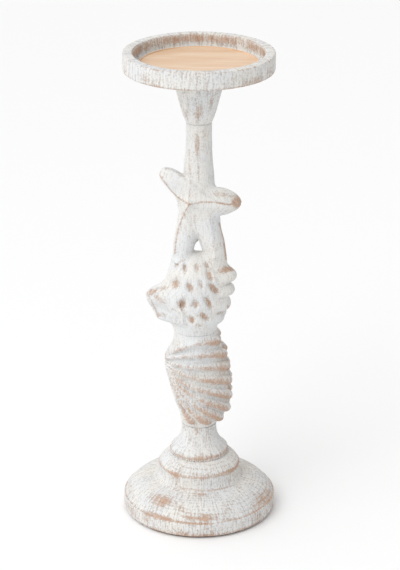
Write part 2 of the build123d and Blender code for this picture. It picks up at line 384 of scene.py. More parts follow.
@dataclass(frozen=True)
class Whitewash:
    """Carved or turned hardwood under a thin brushed limewash, sanded back on what stands out.

    Chalky off-white with grey brush streaks; where it is rubbed through, a tan wood with darker
    pores shows, speckled at its border because the wash stays in the pores.

    Attributes:
        name: Name of the material.
        stroke: Width of a brush stroke, in millimetres.
        stroke_length: Length of a brush stroke, in millimetres.
        grit: Size of the speckle, coarser than real grit so that it shows, in millimetres.
        streaks: How strongly the strokes show in the wash, 0 to 1.
        rub: Added to the wear all over; more shows more wood.
        paint: Colour of the full wash.
        cool_paint: Colour of the wash where it is thickest.
        thin: Colour of the wash where it lies thin.
        wood: Colour of the bare wood.
        pore: Colour of the wood's pores and darkest rub.
    """

    name: str = "limewashed_mango_wood_sanded"
    stroke: float = 1.1
    stroke_length: float = 12.0
    grit: float = 1.5
    streaks: float = 0.75
    rub: float = 0.0
    paint: str = "E2E0DB"
    cool_paint: str = "DCDEDF"
    thin: str = "B4ACA5"
    wood: str = "C6A68F"
    pore: str = "9A7C69"

    def build(self) -> bpy.types.Material:
        """Return the node material."""
        material = bpy.data.materials.new(self.name)
        material.use_nodes = True
        tree = material.node_tree
        tree.nodes.clear()
        place = add_node(tree, "ShaderNodeTexCoord").outputs["Object"]
        wear = add_node(tree, "ShaderNodeAttribute", {"attribute_name": "wear"}).outputs["Fac"]
        grain = add_node(tree, "ShaderNodeAttribute", {"attribute_name": "grain"}).outputs["Vector"]
        brushed = add_node(
            tree,
            "ShaderNodeMapping",
            {},
            {"Vector": grain, "Scale": (1 / (self.stroke * MM), 1 / (self.stroke_length * MM), 1.0)},
        ).outputs["Vector"]

        def noise(vector: Any, scale: float, detail: float, rough: float = 0.55) -> Any:
            """Return a noise value with the given features per unit."""
            settings = {"Vector": vector, "Scale": scale, "Detail": detail, "Roughness": rough}
            return add_node(tree, "ShaderNodeTexNoise", {}, settings).outputs["Fac"]

        def math_node(kind: str, a: Any, b: Any, c: Any = 0.0) -> Any:
            """Return the result of one Math node."""
            return calc(tree, kind, a, b, c)

        def ramp(value: Any, low: float, high: float) -> Any:
            """Return a smooth rise from 0 at low to 1 at high."""
            settings = {"interpolation_type": "SMOOTHSTEP"}
            limits = {"Value": value, "From Min": low, "From Max": high}
            return add_node(tree, "ShaderNodeMapRange", settings, limits).outputs["Result"]

        def mix(share: Any, a: Any, b: Any) -> Any:
            """Return one colour mixed into another."""
            settings = {"data_type": "RGBA"}
            return add_node(tree, "ShaderNodeMix", settings, {0: share, 6: a, 7: b}).outputs[2]

        patches = noise(place, 1 / (13 * MM), 4.0)
        clouds = noise(place, 1 / (30 * MM), 2.0)
        strokes = noise(brushed, 1.0, 3.0)
        speckle = noise(place, 1 / (self.grit * MM), 3.0, 0.75)
        exposed = math_node("MULTIPLY_ADD", patches, 0.9, math_node("ADD", wear, self.rub - 0.45))
        exposed = math_node("MULTIPLY_ADD", strokes, 0.9, math_node("ADD", exposed, -0.45))
        exposed = math_node("MULTIPLY_ADD", speckle, 1.5, math_node("ADD", exposed, -0.75))
        bare = math_node("MULTIPLY", ramp(exposed, 0.28, 0.92), 0.9)
        mottle = math_node("MULTIPLY_ADD", speckle, 0.6, math_node("MULTIPLY", strokes, 0.6))
        thinness = math_node("MULTIPLY", ramp(mottle, 0.52, 0.80), self.streaks)
        thinness = math_node("MULTIPLY_ADD", ramp(exposed, 0.0, 0.55), 0.35, thinness)
        wash = mix(ramp(clouds, 0.35, 0.65), linear(self.paint), linear(self.cool_paint))
        wash = mix(thinness, wash, linear(self.thin))
        pores = noise(brushed, 2.3, 3.0, 0.65)
        timber = mix(ramp(pores, 0.38, 0.68), linear(self.wood), linear(self.pore))
        colour = mix(bare, wash, timber)
        height = math_node("MULTIPLY_ADD", strokes, -0.12, math_node("MULTIPLY", bare, -0.10))
        height = math_node("MULTIPLY_ADD", speckle, 0.10, height)
        bump = add_node(
            tree, "ShaderNodeBump", {}, {"Strength": 0.8, "Distance": 1.0 * MM, "Height": height}
        ).outputs["Normal"]
        roughness = add_node(
            tree, "ShaderNodeMapRange", {}, {"Value": bare, "To Min": 0.82, "To Max": 0.62}
        ).outputs["Result"]
        shader = add_node(
            tree,
            "ShaderNodeBsdfPrincipled",
            {},
            {"Base Color": colour, "Roughness": roughness, "Normal": bump, "Specular IOR Level": 0.3},
        )
        out = add_node(tree, "ShaderNodeOutputMaterial")
        tree.links.new(shader.outputs[0], out.inputs["Surface"])
        return material


@dataclass(frozen=True)
class PlainFinish:
    """A finish of two close tones, clouded or streaked by noise.

    Attributes:
        name: Name of the material.
        tone: Main colour.
        second: Colour of the streaks or clouds.
        size: Size of a streak across and along Z, in millimetres.
        roughness: Roughness of the surface.
        metallic: 1 for metal.
        bump: Height of the grain, in millimetres.
    """

    name: str
    tone: str
    second: str
    size: tuple[float, float, float]
    roughness: float
    metallic: float = 0.0
    bump: float = 0.05

    def build(self) -> bpy.types.Material:
        """Return the node material."""
        material = bpy.data.materials.new(self.name)
        material.use_nodes = True
        tree = material.node_tree
        tree.nodes.clear()
        place = add_node(tree, "ShaderNodeTexCoord").outputs["Object"]
        scale = tuple(1 / (side * MM) for side in self.size)
        streaked = add_node(tree, "ShaderNodeMapping", {}, {"Vector": place, "Scale": scale}).outputs["Vector"]
        settings = {"Vector": streaked, "Scale": 1.0, "Detail": 3.0}
        grain = add_node(tree, "ShaderNodeTexNoise", {}, settings).outputs["Fac"]
        share = add_node(
            tree, "ShaderNodeMapRange", {}, {"Value": grain, "From Min": 0.38, "From Max": 0.66}
        ).outputs["Result"]
        tones = {0: share, 6: linear(self.tone), 7: linear(self.second)}
        colour = add_node(tree, "ShaderNodeMix", {"data_type": "RGBA"}, tones).outputs[2]
        bump = add_node(
            tree, "ShaderNodeBump", {}, {"Strength": 0.5, "Distance": self.bump * MM, "Height": grain}
        ).outputs["Normal"]
        looks = {"Base Color": colour, "Roughness": self.roughness, "Metallic": self.metallic, "Normal": bump}
        shader = add_node(tree, "ShaderNodeBsdfPrincipled", {}, looks)
        out = add_node(tree, "ShaderNodeOutputMaterial")
        tree.links.new(shader.outputs[0], out.inputs["Surface"])
        return material


# smooth tan gold lacquer over sheet steel: soft level streaks, an even satin sheen
PLATE_LACQUER = PlainFinish("champagne_lacquered_sheet_steel", "DDBB9A", "E6CBB0", (46.0, 7.0, 20.0), 0.42, 0.0, 0.02)
# turned beech rod: pale pinkish wood, short darker flecks along the grain
BEECH = PlainFinish("planed_beech_dowel", "D8B48C", "C49A70", (0.6, 0.6, 7.0), 0.6)
# bright zinc: bluish grey metal with a faint cloud
ZINC = PlainFinish("zinc_plated_steel", "B9BDC0", "A4A8A6", (2.0, 2.0, 2.0), 0.38, 1.0, 0.01)
# pressed wool felt: matt dark grey-brown with fuzz
FELT = PlainFinish("pressed_wool_felt", "5F5750", "7A7168", (0.5, 0.5, 0.5), 0.95, 0.0, 0.3)


def dress(piece: bpy.types.Object, material: bpy.types.Material) -> None:
    """Give a piece one material.

    Args:
        piece: The piece.
        material: Its finish.
    """
    piece.data.materials.clear()
    piece.data.materials.append(material)


def place_piece(piece: bpy.types.Object, node: str, body: str) -> None:
    """Let a finished piece stand for a frame node.

    Args:
        piece: The piece.
        node: The node that it replaces.
        body: The body that it rides on.
    """
    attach(piece, body)
    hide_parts(node)
    log.info("%s: %d faces", piece.name, len(piece.data.polygons))


# ---------------------------------------------------------------- levels of the frame


@dataclass
class Levels:
    """Heights at which the blocks meet, read from the frame, in millimetres."""

    neck: float = 0.0
    shoulder: float = 0.0
    foot: float = 0.0
    capital: float = 0.0

    @classmethod
    def read(cls) -> "Levels":
        """Return the levels of the loaded frame."""
        return cls(
            neck=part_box("conch")[0].z / MM,
            shoulder=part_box("starfish_shaft")[0].z / MM,
            foot=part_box("scallop")[0].z / MM,
            capital=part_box("capital")[0].z / MM,
        )


# ---------------------------------------------------------------- carved fronts


def drawn_height(y: Array, z: Array) -> Array:
    """Return the height at which a point shows on the front, seen from a little above."""
    return z + LOOK * y


def column_field(x: Array, y: Array, z: Array, stations: Sequence[tuple[float, ...]], power: float = 2.0) -> Array:
    """Return the field of an upright shape whose section changes with height.

    Args:
        x: Places along X.
        y: Places along Y.
        z: Places along Z.
        stations: Rows of height, middle X, middle Y, half width and half depth.
        power: 2 is an ellipse, less is more like a diamond.

    Returns:
        The signed field, rounded off past the last stations.
    """
    low, high = stations[0][0], stations[-1][0]
    at = np.clip(z, low, high)
    mx, my, hx, hy = (blend_between(at, stations, k) for k in (1, 2, 3, 4))
    dx, dy = x - mx, y - my
    reach = np.sqrt(dx * dx + dy * dy) + 1e-6
    radius = ((np.abs(dx) / reach / hx) ** power + (np.abs(dy) / reach / hy) ** power) ** (-1 / power)
    past = z - at
    return np.sqrt(np.maximum(reach, 1e-3) ** 2 + past * past) - radius


@dataclass(frozen=True)
class Stroke:
    """A line cut into a carved front, or worn along it.

    Attributes:
        points: Places (x, height) as drawn on the front.
        rise: Height of the ridge; below zero it is a groove.
        reach: How wide the ridge fades out.
        wear: How far it is rubbed, 0 to 1.
        width: Half width of the rubbed line.
    """

    points: tuple[tuple[float, float], ...]
    rise: float = 0.0
    reach: float = 1.6
    wear: float = 0.0
    width: float = 0.8

    def away(self, x: Array, v: Array) -> Array:
        """Return the distance from the line, on the drawn front."""
        best = np.full(np.broadcast(x, v).shape, 1e6, dtype=np.float32)
        for (ax, av), (bx, bv) in zip(self.points[:-1], self.points[1:]):
            dx, dv = bx - ax, bv - av
            share = np.clip(((x - ax) * dx + (v - av) * dv) / (dx * dx + dv * dv), 0.0, 1.0)
            best = np.minimum(best, (x - ax - share * dx) ** 2 + (v - av - share * dv) ** 2)
        return np.sqrt(best)


@dataclass(frozen=True)
class Mark:
    """A pit, a swelling or a rubbed spot on a carved front.

    Attributes:
        x: Middle along X.
        v: Middle height, as drawn on the front.
        wide: Half width.
        tall: Half height.
        lean: Turn of its long side in degrees, anticlockwise.
        depth: How deep it is; below zero it swells.
        wear: How far it is rubbed, 0 to 1.
    """

    x: float
    v: float
    wide: float
    tall: float
    lean: float = 0.0
    depth: float = 0.0
    wear: float = 0.0

    def share(self, x: Array, v: Array) -> Array:
        """Return how much a place belongs to the mark, 1 in its middle."""
        cosine, sine = math.cos(math.radians(self.lean)), math.sin(math.radians(self.lean))
        across = ((x - self.x) * cosine + (v - self.v) * sine) / self.wide
        along = ((v - self.v) * cosine - (x - self.x) * sine) / self.tall
        return np.exp(-(across * across + along * along) ** 1.5)


@dataclass(frozen=True)
class Front:
    """Everything that is drawn on one carved front.

    Attributes:
        strokes: Its ridges, grooves and worn lines.
        marks: Its pits, swellings and rubbed spots.
    """

    strokes: tuple[Stroke, ...] = ()
    marks: tuple[Mark, ...] = ()

    def relief(self, x: Array, y: Array, z: Array) -> Array:
        """Return how far the drawing lifts the surface, in millimetres."""
        v = drawn_height(y, z)
        total = np.zeros(np.broadcast(x, v).shape, dtype=np.float32)
        for stroke in self.strokes:
            if stroke.rise:
                total += stroke.rise * np.exp(-stroke.away(x, v) / stroke.reach)
        for mark in self.marks:
            if mark.depth:
                total -= mark.depth * mark.share(x, v)
        return total * smooth_step(5.0, 0.0, y)

    def rub(self, points: Array) -> Array:
        """Return how far the drawing is rubbed at each point."""
        x, y, z = points.T
        v = drawn_height(y, z)
        wander = 0.35 * layered_noise(points, 2.5, 2, 61)
        total = np.zeros(len(points))
        for stroke in self.strokes:
            if stroke.wear:
                line = np.exp(-((stroke.away(x, v) / stroke.width) ** 2))
                total = np.maximum(total, stroke.wear * line)
        for mark in self.marks:
            if mark.wear:
                total = np.maximum(total, mark.wear * mark.share(x, v))
        return total * (1 + wander) * smooth_step(6.0, 1.0, y)


def finish_carving(skin: Skin, rub: Array, cuts: Sequence[float], turned: float = 0.0) -> None:
    """Work out wear and brush direction of a carved block, then roughen it a little.

    Args:
        skin: The carved surface.
        rub: Wear that the design asks for, one for each point.
        cuts: Heights of the joints, whose edges stay painted.
        turned: Lean of the brush strokes, in millimetres along for each one around.
    """
    x, y, z = skin.points.T
    joint = np.ones(len(z))
    for cut in cuts:
        joint *= smooth_step(0.6, 2.6, np.abs(z - cut))
    fine = smooth_step(0.06, 0.40, skin.smoothed(skin.convexity(16), 2))
    broad = smooth_step(0.25, 1.30, skin.smoothed(skin.convexity(60), 3))
    patchy = 0.5 + 0.5 * layered_noise(skin.points, 6.0, 2, 23)
    skin.wear = np.clip(rub + joint * (0.28 * fine + 0.22 * broad) * (0.4 + 1.1 * patchy), 0.0, 0.95)
    turn = np.arctan2(y, x)
    skin.grain = np.stack([turn * 22.0 + turned * z, z, np.zeros_like(z)], axis=1)
    grooves = skin.grain / np.array([1.2, 9.0, 1.0])
    skin.push(0.12 * layered_noise(grooves, 1.0, 2, 11) + 0.16 * layered_noise(skin.points, 7.0, 2, 5))


def dressed(skin: Skin, name: str, finish: bpy.types.Material) -> bpy.types.Object:
    """Turn a skin into an object with its finish."""
    piece = skin.to_object(name)
    dress(piece, finish)
    return piece


# ---------------------------------------------------------------- starfish and shaft


@dataclass(frozen=True)
class Limb:
    """A tapering limb whose crest runs along a given line.

    Attributes:
        start: Start of the crest.
        end: End of the crest.
        bend: How far the limb bows at its middle.
        face: Direction in which the crest looks.
        widths: Half widths at the root, middle and tip.
        depths: Half depths at the root, middle and tip.
        blunt: Share of the length over which the tip rounds off.
        squareness: 2 is an ellipse, less is more like a roof.
    """

    start: Point
    end: Point
    bend: Point
    face: Point
    widths: Point
    depths: Point
    blunt: float = 0.25
    squareness: float = 1.6

    def field(self, x: Array, y: Array, z: Array) -> Array:
        """Return the limb's signed field."""
        start, end, bend, face = (np.array(v, float) for v in (self.start, self.end, self.bend, self.face))
        face = face / np.linalg.norm(face)
        root = start - face * self.depths[0]
        tip = end - face * self.depths[2]
        length = float(np.linalg.norm(tip - root))
        axis = (tip - root) / length
        face = face - axis * face.dot(axis)
        face = face / np.linalg.norm(face)
        side = np.cross(axis, face)
        dx, dy, dz = x - root[0], y - root[1], z - root[2]
        along = (dx * axis[0] + dy * axis[1] + dz * axis[2]) / length
        share = np.clip(along, 0.0, 1.0)
        bow = 4 * share * (1 - share)
        dx, dy, dz = dx - bow * bend[0], dy - bow * bend[1], dz - bow * bend[2]
        across = dx * side[0] + dy * side[1] + dz * side[2]
        out = dx * face[0] + dy * face[1] + dz * face[2]
        stations = list(zip((0.0, 0.5, 1.0), self.widths, self.depths))
        over = np.clip((share - 1 + self.blunt) / self.blunt, 0.0, 1.0)
        taper = np.sqrt(np.maximum(1 - over * over, 0.0))
        width = blend_between(share, stations, 1) * taper + 0.01
        depth = blend_between(share, stations, 2) * taper + 0.01
        reach = np.sqrt(across * across + out * out) + 1e-6
        power = self.squareness
        radius = ((np.abs(across) / reach / width) ** power + (np.abs(out) / reach / depth) ** power) ** (-1 / power)
        past = (along - share) * length
        return np.sqrt(reach * reach + past * past) - radius


@dataclass
class Starfish:
    """Starfish that stands on two arms and carries the shaft on a third."""

    levels: Levels
    shaft_radius: float = 10.4

    def arms(self) -> list[Limb]:
        """Return the free arms, left and right."""
        base = self.levels.shoulder
        return [
            Limb(
                (-8.0, -9.5, base + 53.5), (-33.0, -1.0, base + 76.2), (-0.6, 0, 0.6), (-0.50, -0.66, -0.56),
                (13.2, 11.6, 8.0), (8.6, 7.6, 5.6), 0.30, 1.5,
            ),
            Limb(
                (-6.0, -12.5, base + 52.5), (34.0, -15.0, base + 54.8), (0.0, -0.8, 0.8), (0.02, -1, -0.05),
                (11.0, 12.2, 10.2), (9.0, 9.6, 7.6), 0.42, 1.5,
            ),
        ]

    def trunk(self) -> list[tuple[float, ...]]:
        """Return the stations of the upper arm and the shaft above it."""
        base, top = self.levels.shoulder, self.levels.capital
        radius = self.shaft_radius
        return [
            # height, middle X, middle Y, half width, half depth
            (base + 32, 0.0, 0.0, 13.5, 9.5),
            (base + 36, 0.3, 0.0, 15.4, 10.2),
            (base + 42, 0.6, -0.5, 15.0, 10.8),
            (base + 50, 0.6, -0.8, 14.0, 11.2),
            (base + 60, 0.0, -0.8, 13.6, 11.2),
            (base + 70, 0.0, -0.4, 12.6, 11.2),
            (base + 78, 0.0, 0.0, 12.0, 11.4),
            (base + 88, -0.3, 0.0, 11.4, 11.0),
            (top - 24, 0.0, 0.0, radius + 0.2, radius + 0.2),
            (top - 14, 0.0, 0.0, radius, radius),
            (top + 4, 0.0, 0.0, radius, radius),
        ]

    def legs(self) -> list[list[tuple[float, ...]]]:
        """Return the stations of the left and right leg."""
        base = self.levels.shoulder
        left = [
            (base - 8, -13.6, 0.5, 8.8, 9.8),
            (base, -13.3, 0.5, 8.3, 9.5),
            (base + 10, -12.6, 0.2, 8.0, 9.5),
            (base + 21, -10.5, 0.0, 9.1, 9.8),
            (base + 28, -8.9, 0.0, 9.2, 10.0),
            (base + 40, -7.8, -0.2, 8.6, 10.2),
            (base + 48, -6.0, -0.5, 8.0, 10.0),
        ]
        right = [
            (base - 8, 14.6, -2.0, 9.6, 10.0),
            (base, 13.8, -2.0, 9.2, 9.8),
            (base + 10, 12.6, -2.4, 9.4, 10.0),
            (base + 21, 10.0, -2.6, 10.2, 10.2),
            (base + 28, 8.2, -2.6, 10.2, 10.4),
            (base + 40, 5.0, -1.8, 11.0, 10.6),
            (base + 48, 2.0, -1.0, 11.0, 10.4),
        ]
        return [left, right]

    def front(self) -> Front:
        """Return the ridges and the worn spots of the starfish's front."""
        heart = (-8.0, 271.1)
        strokes = (
            Stroke((heart, (3.8, 273.4), (13.5, 273.0), (23.2, 271.0), (32.0, 272.3)), 2.0, 3.2, 0.62, 0.9),
            Stroke(
                (heart, (-8.0, 278.6), (-6.9, 287.0), (-7.6, 295.3), (-7.9, 309.0), (-8.0, 318.0)), 1.0, 2.0, 0.45, 0.8
            ),
            Stroke((heart, (-17.2, 277.7), (-21.6, 282.8), (-29.4, 293.0), (-32.6, 299.0)), 1.8, 3.0, 0.68, 0.9),
            Stroke(
                (heart, (-12.0, 263.7), (-15.1, 255.2), (-17.8, 245.8), (-19.1, 236.3), (-19.8, 229.0)), 1.4, 2.8, 0.62
            ),
            Stroke(((-25.8, 301.8), (-20.6, 301.0), (-14.5, 297.3), (-11.9, 295.5)), 0.3, 1.5, 0.45, 0.8),
            Stroke(((-4.5, 262.7), (-3.2, 253.3), (0.3, 243.9), (3.9, 231.6), (8.3, 224.0)), 0.5, 1.4, 0.40, 0.7),
            Stroke(((-6.0, 262.0), (-5.4, 253.0), (-2.2, 244.5)), -0.9, 1.8, 0.0, 0.7),
            Stroke(((8.6, 259.0), (10.9, 243.9), (12.3, 231.6), (13.7, 221.1)), 0.9, 2.2, 0.14, 1.2),
            Stroke(((16.6, 255.2), (19.6, 243.9), (21.2, 232.5), (22.2, 224.0)), 0.2, 1.5, 0.75, 1.0),
        )
        marks = (
            Mark(31.0, 273.4, 4.6, 6.5, 0.0, 0.0, 1.0),
            Mark(17.5, 280.3, 8.0, 2.6, -8.0, 0.0, 0.55),
            Mark(25.0, 279.0, 5.0, 1.8, -20.0, 0.0, 0.45),
            Mark(-32.0, 299.5, 2.8, 2.2, 0.0, 0.0, 0.50),
            Mark(-24.0, 302.0, 4.5, 1.5, 0.0, 0.0, 0.45),
            Mark(-11.5, 262.3, 1.5, 3.0, 25.0, 0.0, 0.60),
            Mark(-0.5, 300.5, 1.3, 8.0, 0.0, 0.0, 0.45),
            Mark(-7.2, 296.0, 1.3, 9.0, 0.0, 0.0, 0.38),
            Mark(-1.5, 322.0, 2.2, 12.0, 0.0, 0.0, 0.60),
            Mark(4.0, 333.0, 1.4, 7.0, 0.0, 0.0, 0.40),
        )
        return Front(strokes, marks)

    def field(self, x: Array, y: Array, z: Array) -> Array:
        """Return the field of starfish and shaft together."""
        left_leg, right_leg = (column_field(x, y, z, leg, 1.9) for leg in self.legs())
        left, right = (arm.field(x, y, z) for arm in self.arms())
        body = smooth_min(column_field(x, y, z, self.trunk(), 2.0), smooth_min(left_leg, right_leg, 1.5), 4.0)
        body = smooth_min(body, left, 2.5)
        return smooth_min(body, right, 4.5)

    def build(self, conch: "Conch", finish: bpy.types.Material) -> None:
        """Carve, brush and dress the starfish and its shaft.

        Args:
            conch: The block below, whose crown stands between the feet.
            finish: The whitewash.
        """
        low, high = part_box("starfish_shaft")
        feet = low.z / MM
        block = Block.around(low, high, (3, 9, 2), (3, 6, 2), 0.55)
        drawing = self.front()

        def shape(x: Array, y: Array, z: Array) -> Array:
            """Return the part of the joined stem that belongs to the starfish."""
            own = self.field(x, y, z)
            other = conch.field(x, y, z)
            whole = smooth_min(own, other, 4.0)
            whole = np.maximum(whole, own - other - 0.4) - drawing.relief(x, y, z)
            return np.maximum(np.maximum(whole, feet - 0.2 - z), z - self.levels.capital)

        skin = block.carve(shape)
        finish_carving(skin, drawing.rub(skin.points), (self.levels.shoulder, self.levels.capital))
        place_piece(dressed(skin, "carved_starfish_and_shaft", finish), "starfish_shaft", "stand")


# ---------------------------------------------------------------- conch


@dataclass
class Conch:
    """Knobbly shell with a flared lip to the left."""

    levels: Levels
    knobs: int = 12

    def core(self, x: Array, y: Array, z: Array) -> Array:
        """Return the field of the whorl and its crown."""
        base = self.levels.neck
        stations = [
            # height, middle X, middle Y, half width, half depth
            (base - 4, -2.9, -0.5, 17.0, 17.0),
            (base + 1, -2.9, -0.5, 17.2, 17.2),
            (base + 6, -2.7, -0.5, 18.4, 18.6),
            (base + 14, -1.8, -0.5, 20.6, 20.6),
            (base + 26, -0.8, -0.5, 23.4, 22.2),
            (base + 40, 0.0, -0.5, 24.6, 22.6),
            (base + 50, 0.8, -0.5, 24.4, 21.5),
            (base + 55, 1.0, -0.5, 21.0, 17.4),
            (base + 57, 0.8, -0.5, 15.0, 11.0),
            (base + 58, 0.6, -0.5, 2.0, 2.0),
        ]
        crown = np.sqrt((x + 1.0) ** 2 + (y + 1.5) ** 2 + (1.02 * (z - base - 50.0)) ** 2) - 18.6
        return smooth_min(column_field(x, y, z, stations), crown, 7.0)

    def knobbing(self, x: Array, y: Array, z: Array) -> Array:
        """Return the staggered knobs, towards 1, and pits, towards -1, round the sides and back."""
        h = z - self.levels.neck
        turn = np.arctan2(y, x)
        wander = 0.10 * np.sin(h / 6.0 + 2.0 * np.sin(turn * 2)) + 0.012 * (h - 30.0)
        around = np.cos(self.knobs * (turn + wander) + 0.6)
        up = np.cos(np.pi * (h - 46.0) / 15.5 + 0.5 * np.sin(3 * turn))
        clear = smooth_step(5.0, 13.0, h) * smooth_step(62.0, 54.0, h) * smooth_step(-27.0, -17.0, x)
        return around * up * clear * smooth_step(-4.0, 4.0, y)

    def front(self) -> Front:
        """Return the pits, folds and worn edges of the shell's front."""
        # x, height, half width, half height, lean, depth, wear
        pits = (
            (-18.1, 220.4, 1.8, 3.2, 10, 1.2, 0.60), (-11.1, 215.6, 1.9, 5.0, 5, 2.0, 0.62),
            (-1.7, 216.4, 1.9, 4.2, 8, 1.9, 0.60), (6.4, 218.6, 1.9, 3.4, 25, 1.5, 0.55),
            (8.3, 209.9, 2.6, 5.0, 22, 2.4, 0.80), (-19.0, 202.6, 4.2, 4.6, -20, 2.4, 0.72),
            (-7.4, 199.6, 2.6, 5.0, 18, 2.3, 0.80), (1.6, 202.6, 2.1, 4.2, 12, 2.0, 0.70),
            (11.8, 198.2, 2.6, 6.2, 42, 2.6, 0.95), (-14.2, 184.6, 4.0, 5.0, 8, 2.6, 0.85),
            (-2.7, 184.8, 2.8, 3.9, 5, 2.2, 0.75), (7.6, 186.0, 2.4, 7.0, 28, 2.5, 0.85),
            (-5.9, 171.0, 2.6, 4.0, 35, 2.0, 0.80), (4.3, 173.4, 2.4, 4.6, 48, 2.2, 0.90),
            (0.0, 166.2, 3.0, 1.5, -15, 0.8, 0.50), (-24.5, 186.0, 3.0, 5.0, 30, 1.0, 0.20),
        )
        spots = (
            Mark(22.0, 215.0, 8.5, 3.0, 14, 0.0, 0.95),
            Mark(14.0, 206.0, 2.0, 4.0, 35, 0.0, 0.35),
            Mark(-38.0, 195.5, 4.5, 3.0, 10, 0.0, 0.72),
            Mark(-29.0, 199.0, 7.5, 2.2, 12, 0.0, 0.52),
            Mark(-33.0, 189.5, 7.5, 2.2, -38, -0.6, 0.45),
            Mark(-22.0, 181.5, 6.5, 1.8, -34, 0.0, 0.38),
            Mark(-31.0, 175.0, 4.5, 2.2, -10, 0.0, 0.50),
            Mark(-30.0, 181.0, 7.0, 2.4, -36, 1.5, 0.05),
            Mark(24.2, 181.5, 1.6, 2.6, 0, 0.0, 0.65),
            Mark(17.0, 177.0, 4.0, 1.2, 20, 0.8, 0.60),
            Mark(20.0, 190.8, 5.5, 1.2, 18, 0.8, 0.20),
            Mark(23.0, 202.6, 5.5, 1.2, 18, 0.8, 0.20),
        )
        edge = Stroke(((-42.9, 197.0), (-41.4, 191.6), (-37.2, 182.5), (-34.0, 174.0)), 0.0, 1.5, 0.55, 1.3)
        return Front((edge,), tuple(Mark(*pit) for pit in pits) + spots)

    def lobes(self) -> list[tuple[Point, Point]]:
        """Return middle and half sizes of the blunt fingers on the right."""
        base = self.levels.neck
        return [
            ((19.5, -5.0, base + 49.6), (11.4, 10.5, 7.0)),
            ((19.0, -4.5, base + 37.2), (10.4, 11.0, 6.8)),
            ((16.0, -4.0, base + 24.6), (10.2, 11.5, 7.0)),
            ((12.0, -4.0, base + 13.0), (9.2, 11.5, 6.2)),
        ]

    def lip(self, x: Array, y: Array, z: Array) -> Array:
        """Return the field of the flared lip."""
        h = z - self.levels.neck
        edges = [
            # height, how far out the edge stands
            (0.0, -17.0), (4.0, -20.0), (7.0, -25.0), (9.5, -32.5), (14.0, -36.2), (18.0, -38.4), (24.0, -41.8),
            (29.0, -43.6), (33.0, -43.3), (36.5, -39.8), (39.5, -33.4), (43.0, -28.6), (52.0, -24.0), (62.0, -21.5),
        ]
        edge = blend_between(h, edges, 1)
        inwards = np.clip(x - edge, 0.0, 40.0)
        half = 2.6 + 0.62 * inwards + 0.9 * np.sin((h - 8.0) * 2 * math.pi / 15.0) * np.exp(-inwards / 14.0)
        return smooth_max((np.abs(y + 1.5) - half) * 0.8, (edge - x) * 0.8, 2.4)

    def field(self, x: Array, y: Array, z: Array) -> Array:
        """Return the whole field of the shell."""
        body = self.core(x, y, z)
        h = z - self.levels.neck
        lip = np.maximum(self.lip(x, y, z), np.maximum(x + 14.0, np.abs(h - 32.0) - 29.0))
        body = smooth_min(body, lip, 6.0)
        for middle, size in self.lobes():
            parts = [((p - m) / r) ** 2 for p, m, r in zip((x, y, z), middle, size)]
            away = (np.sqrt(parts[0] + parts[1] + parts[2]) - 1) * min(size)
            body = smooth_min(body, away, 3.6)
        relief = self.knobbing(x, y, z)
        return body - 1.9 * np.maximum(relief, 0.0) ** 0.8 + 2.4 * np.maximum(-relief, 0.0) ** 2.2

    def build(self, star: Starfish, scallop: "Scallop", finish: bpy.types.Material) -> None:
        """Carve and dress the conch.

        Args:
            star: The block above.
            scallop: The block below.
            finish: The whitewash.
        """
        block = Block.around(*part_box("conch"), (3, 2, 2), (3, 2, 2), 0.55)
        shoulder = self.levels.shoulder
        drawing = self.front()

        def shape(x: Array, y: Array, z: Array) -> Array:
            """Return the part of the joined stem that belongs to the conch."""
            own = self.field(x, y, z)
            above = star.field(x, y, z)
            whole = smooth_min(own, above, 4.0) - drawing.relief(x, y, z)
            whole = np.maximum(whole, np.minimum(z - shoulder, own - above) - 0.3)
            whole = smooth_min(whole, scallop.core(x, y, z), 3.0)
            return np.maximum(whole, self.levels.neck - z)

        skin = block.carve(shape)
        pits = smooth_step(0.25, 0.9, -self.knobbing(*skin.points.T)) * 0.7
        rub = np.maximum(drawing.rub(skin.points), pits)
        finish_carving(skin, rub, (self.levels.neck, shoulder))
        place_piece(dressed(skin, "carved_conch", finish), "conch", "stand")


# ---------------------------------------------------------------- scallop


SPREAD = 0.8  # a rib's radius grows with this power of the way along it


def open_tree(name: str, inputs: dict[str, str]) -> bpy.types.NodeTree:
    """Start a geometry node tree.

    Args:
        name: Name of the tree.
        inputs: Kind of each input by its name; a Finish is added after them.

    Returns:
        The tree, with its sockets.
    """
    tree = bpy.data.node_groups.new(name, "GeometryNodeTree")
    for title, kind in {**inputs, "Finish": "Material"}.items():
        tree.interface.new_socket(title, in_out="INPUT", socket_type="NodeSocket" + kind)
    tree.interface.new_socket("Made", in_out="OUTPUT", socket_type="NodeSocketGeometry")
    return tree


def close_tree(tree: bpy.types.NodeTree, geometry: Any, finish: Any) -> None:
    """Realize a tree's instances, set their material and hand them out.

    Args:
        tree: The tree.
        geometry: Output socket of what was made.
        finish: Output socket of the material.
    """
    plain = add_node(tree, "GeometryNodeRealizeInstances", {}, {"Geometry": geometry}).outputs[0]
    looks = {"Geometry": plain, "Material": finish}
    dressed_up = add_node(tree, "GeometryNodeSetMaterial", {}, looks).outputs[0]
    add_node(tree, "NodeGroupOutput", {}, {"Made": dressed_up})


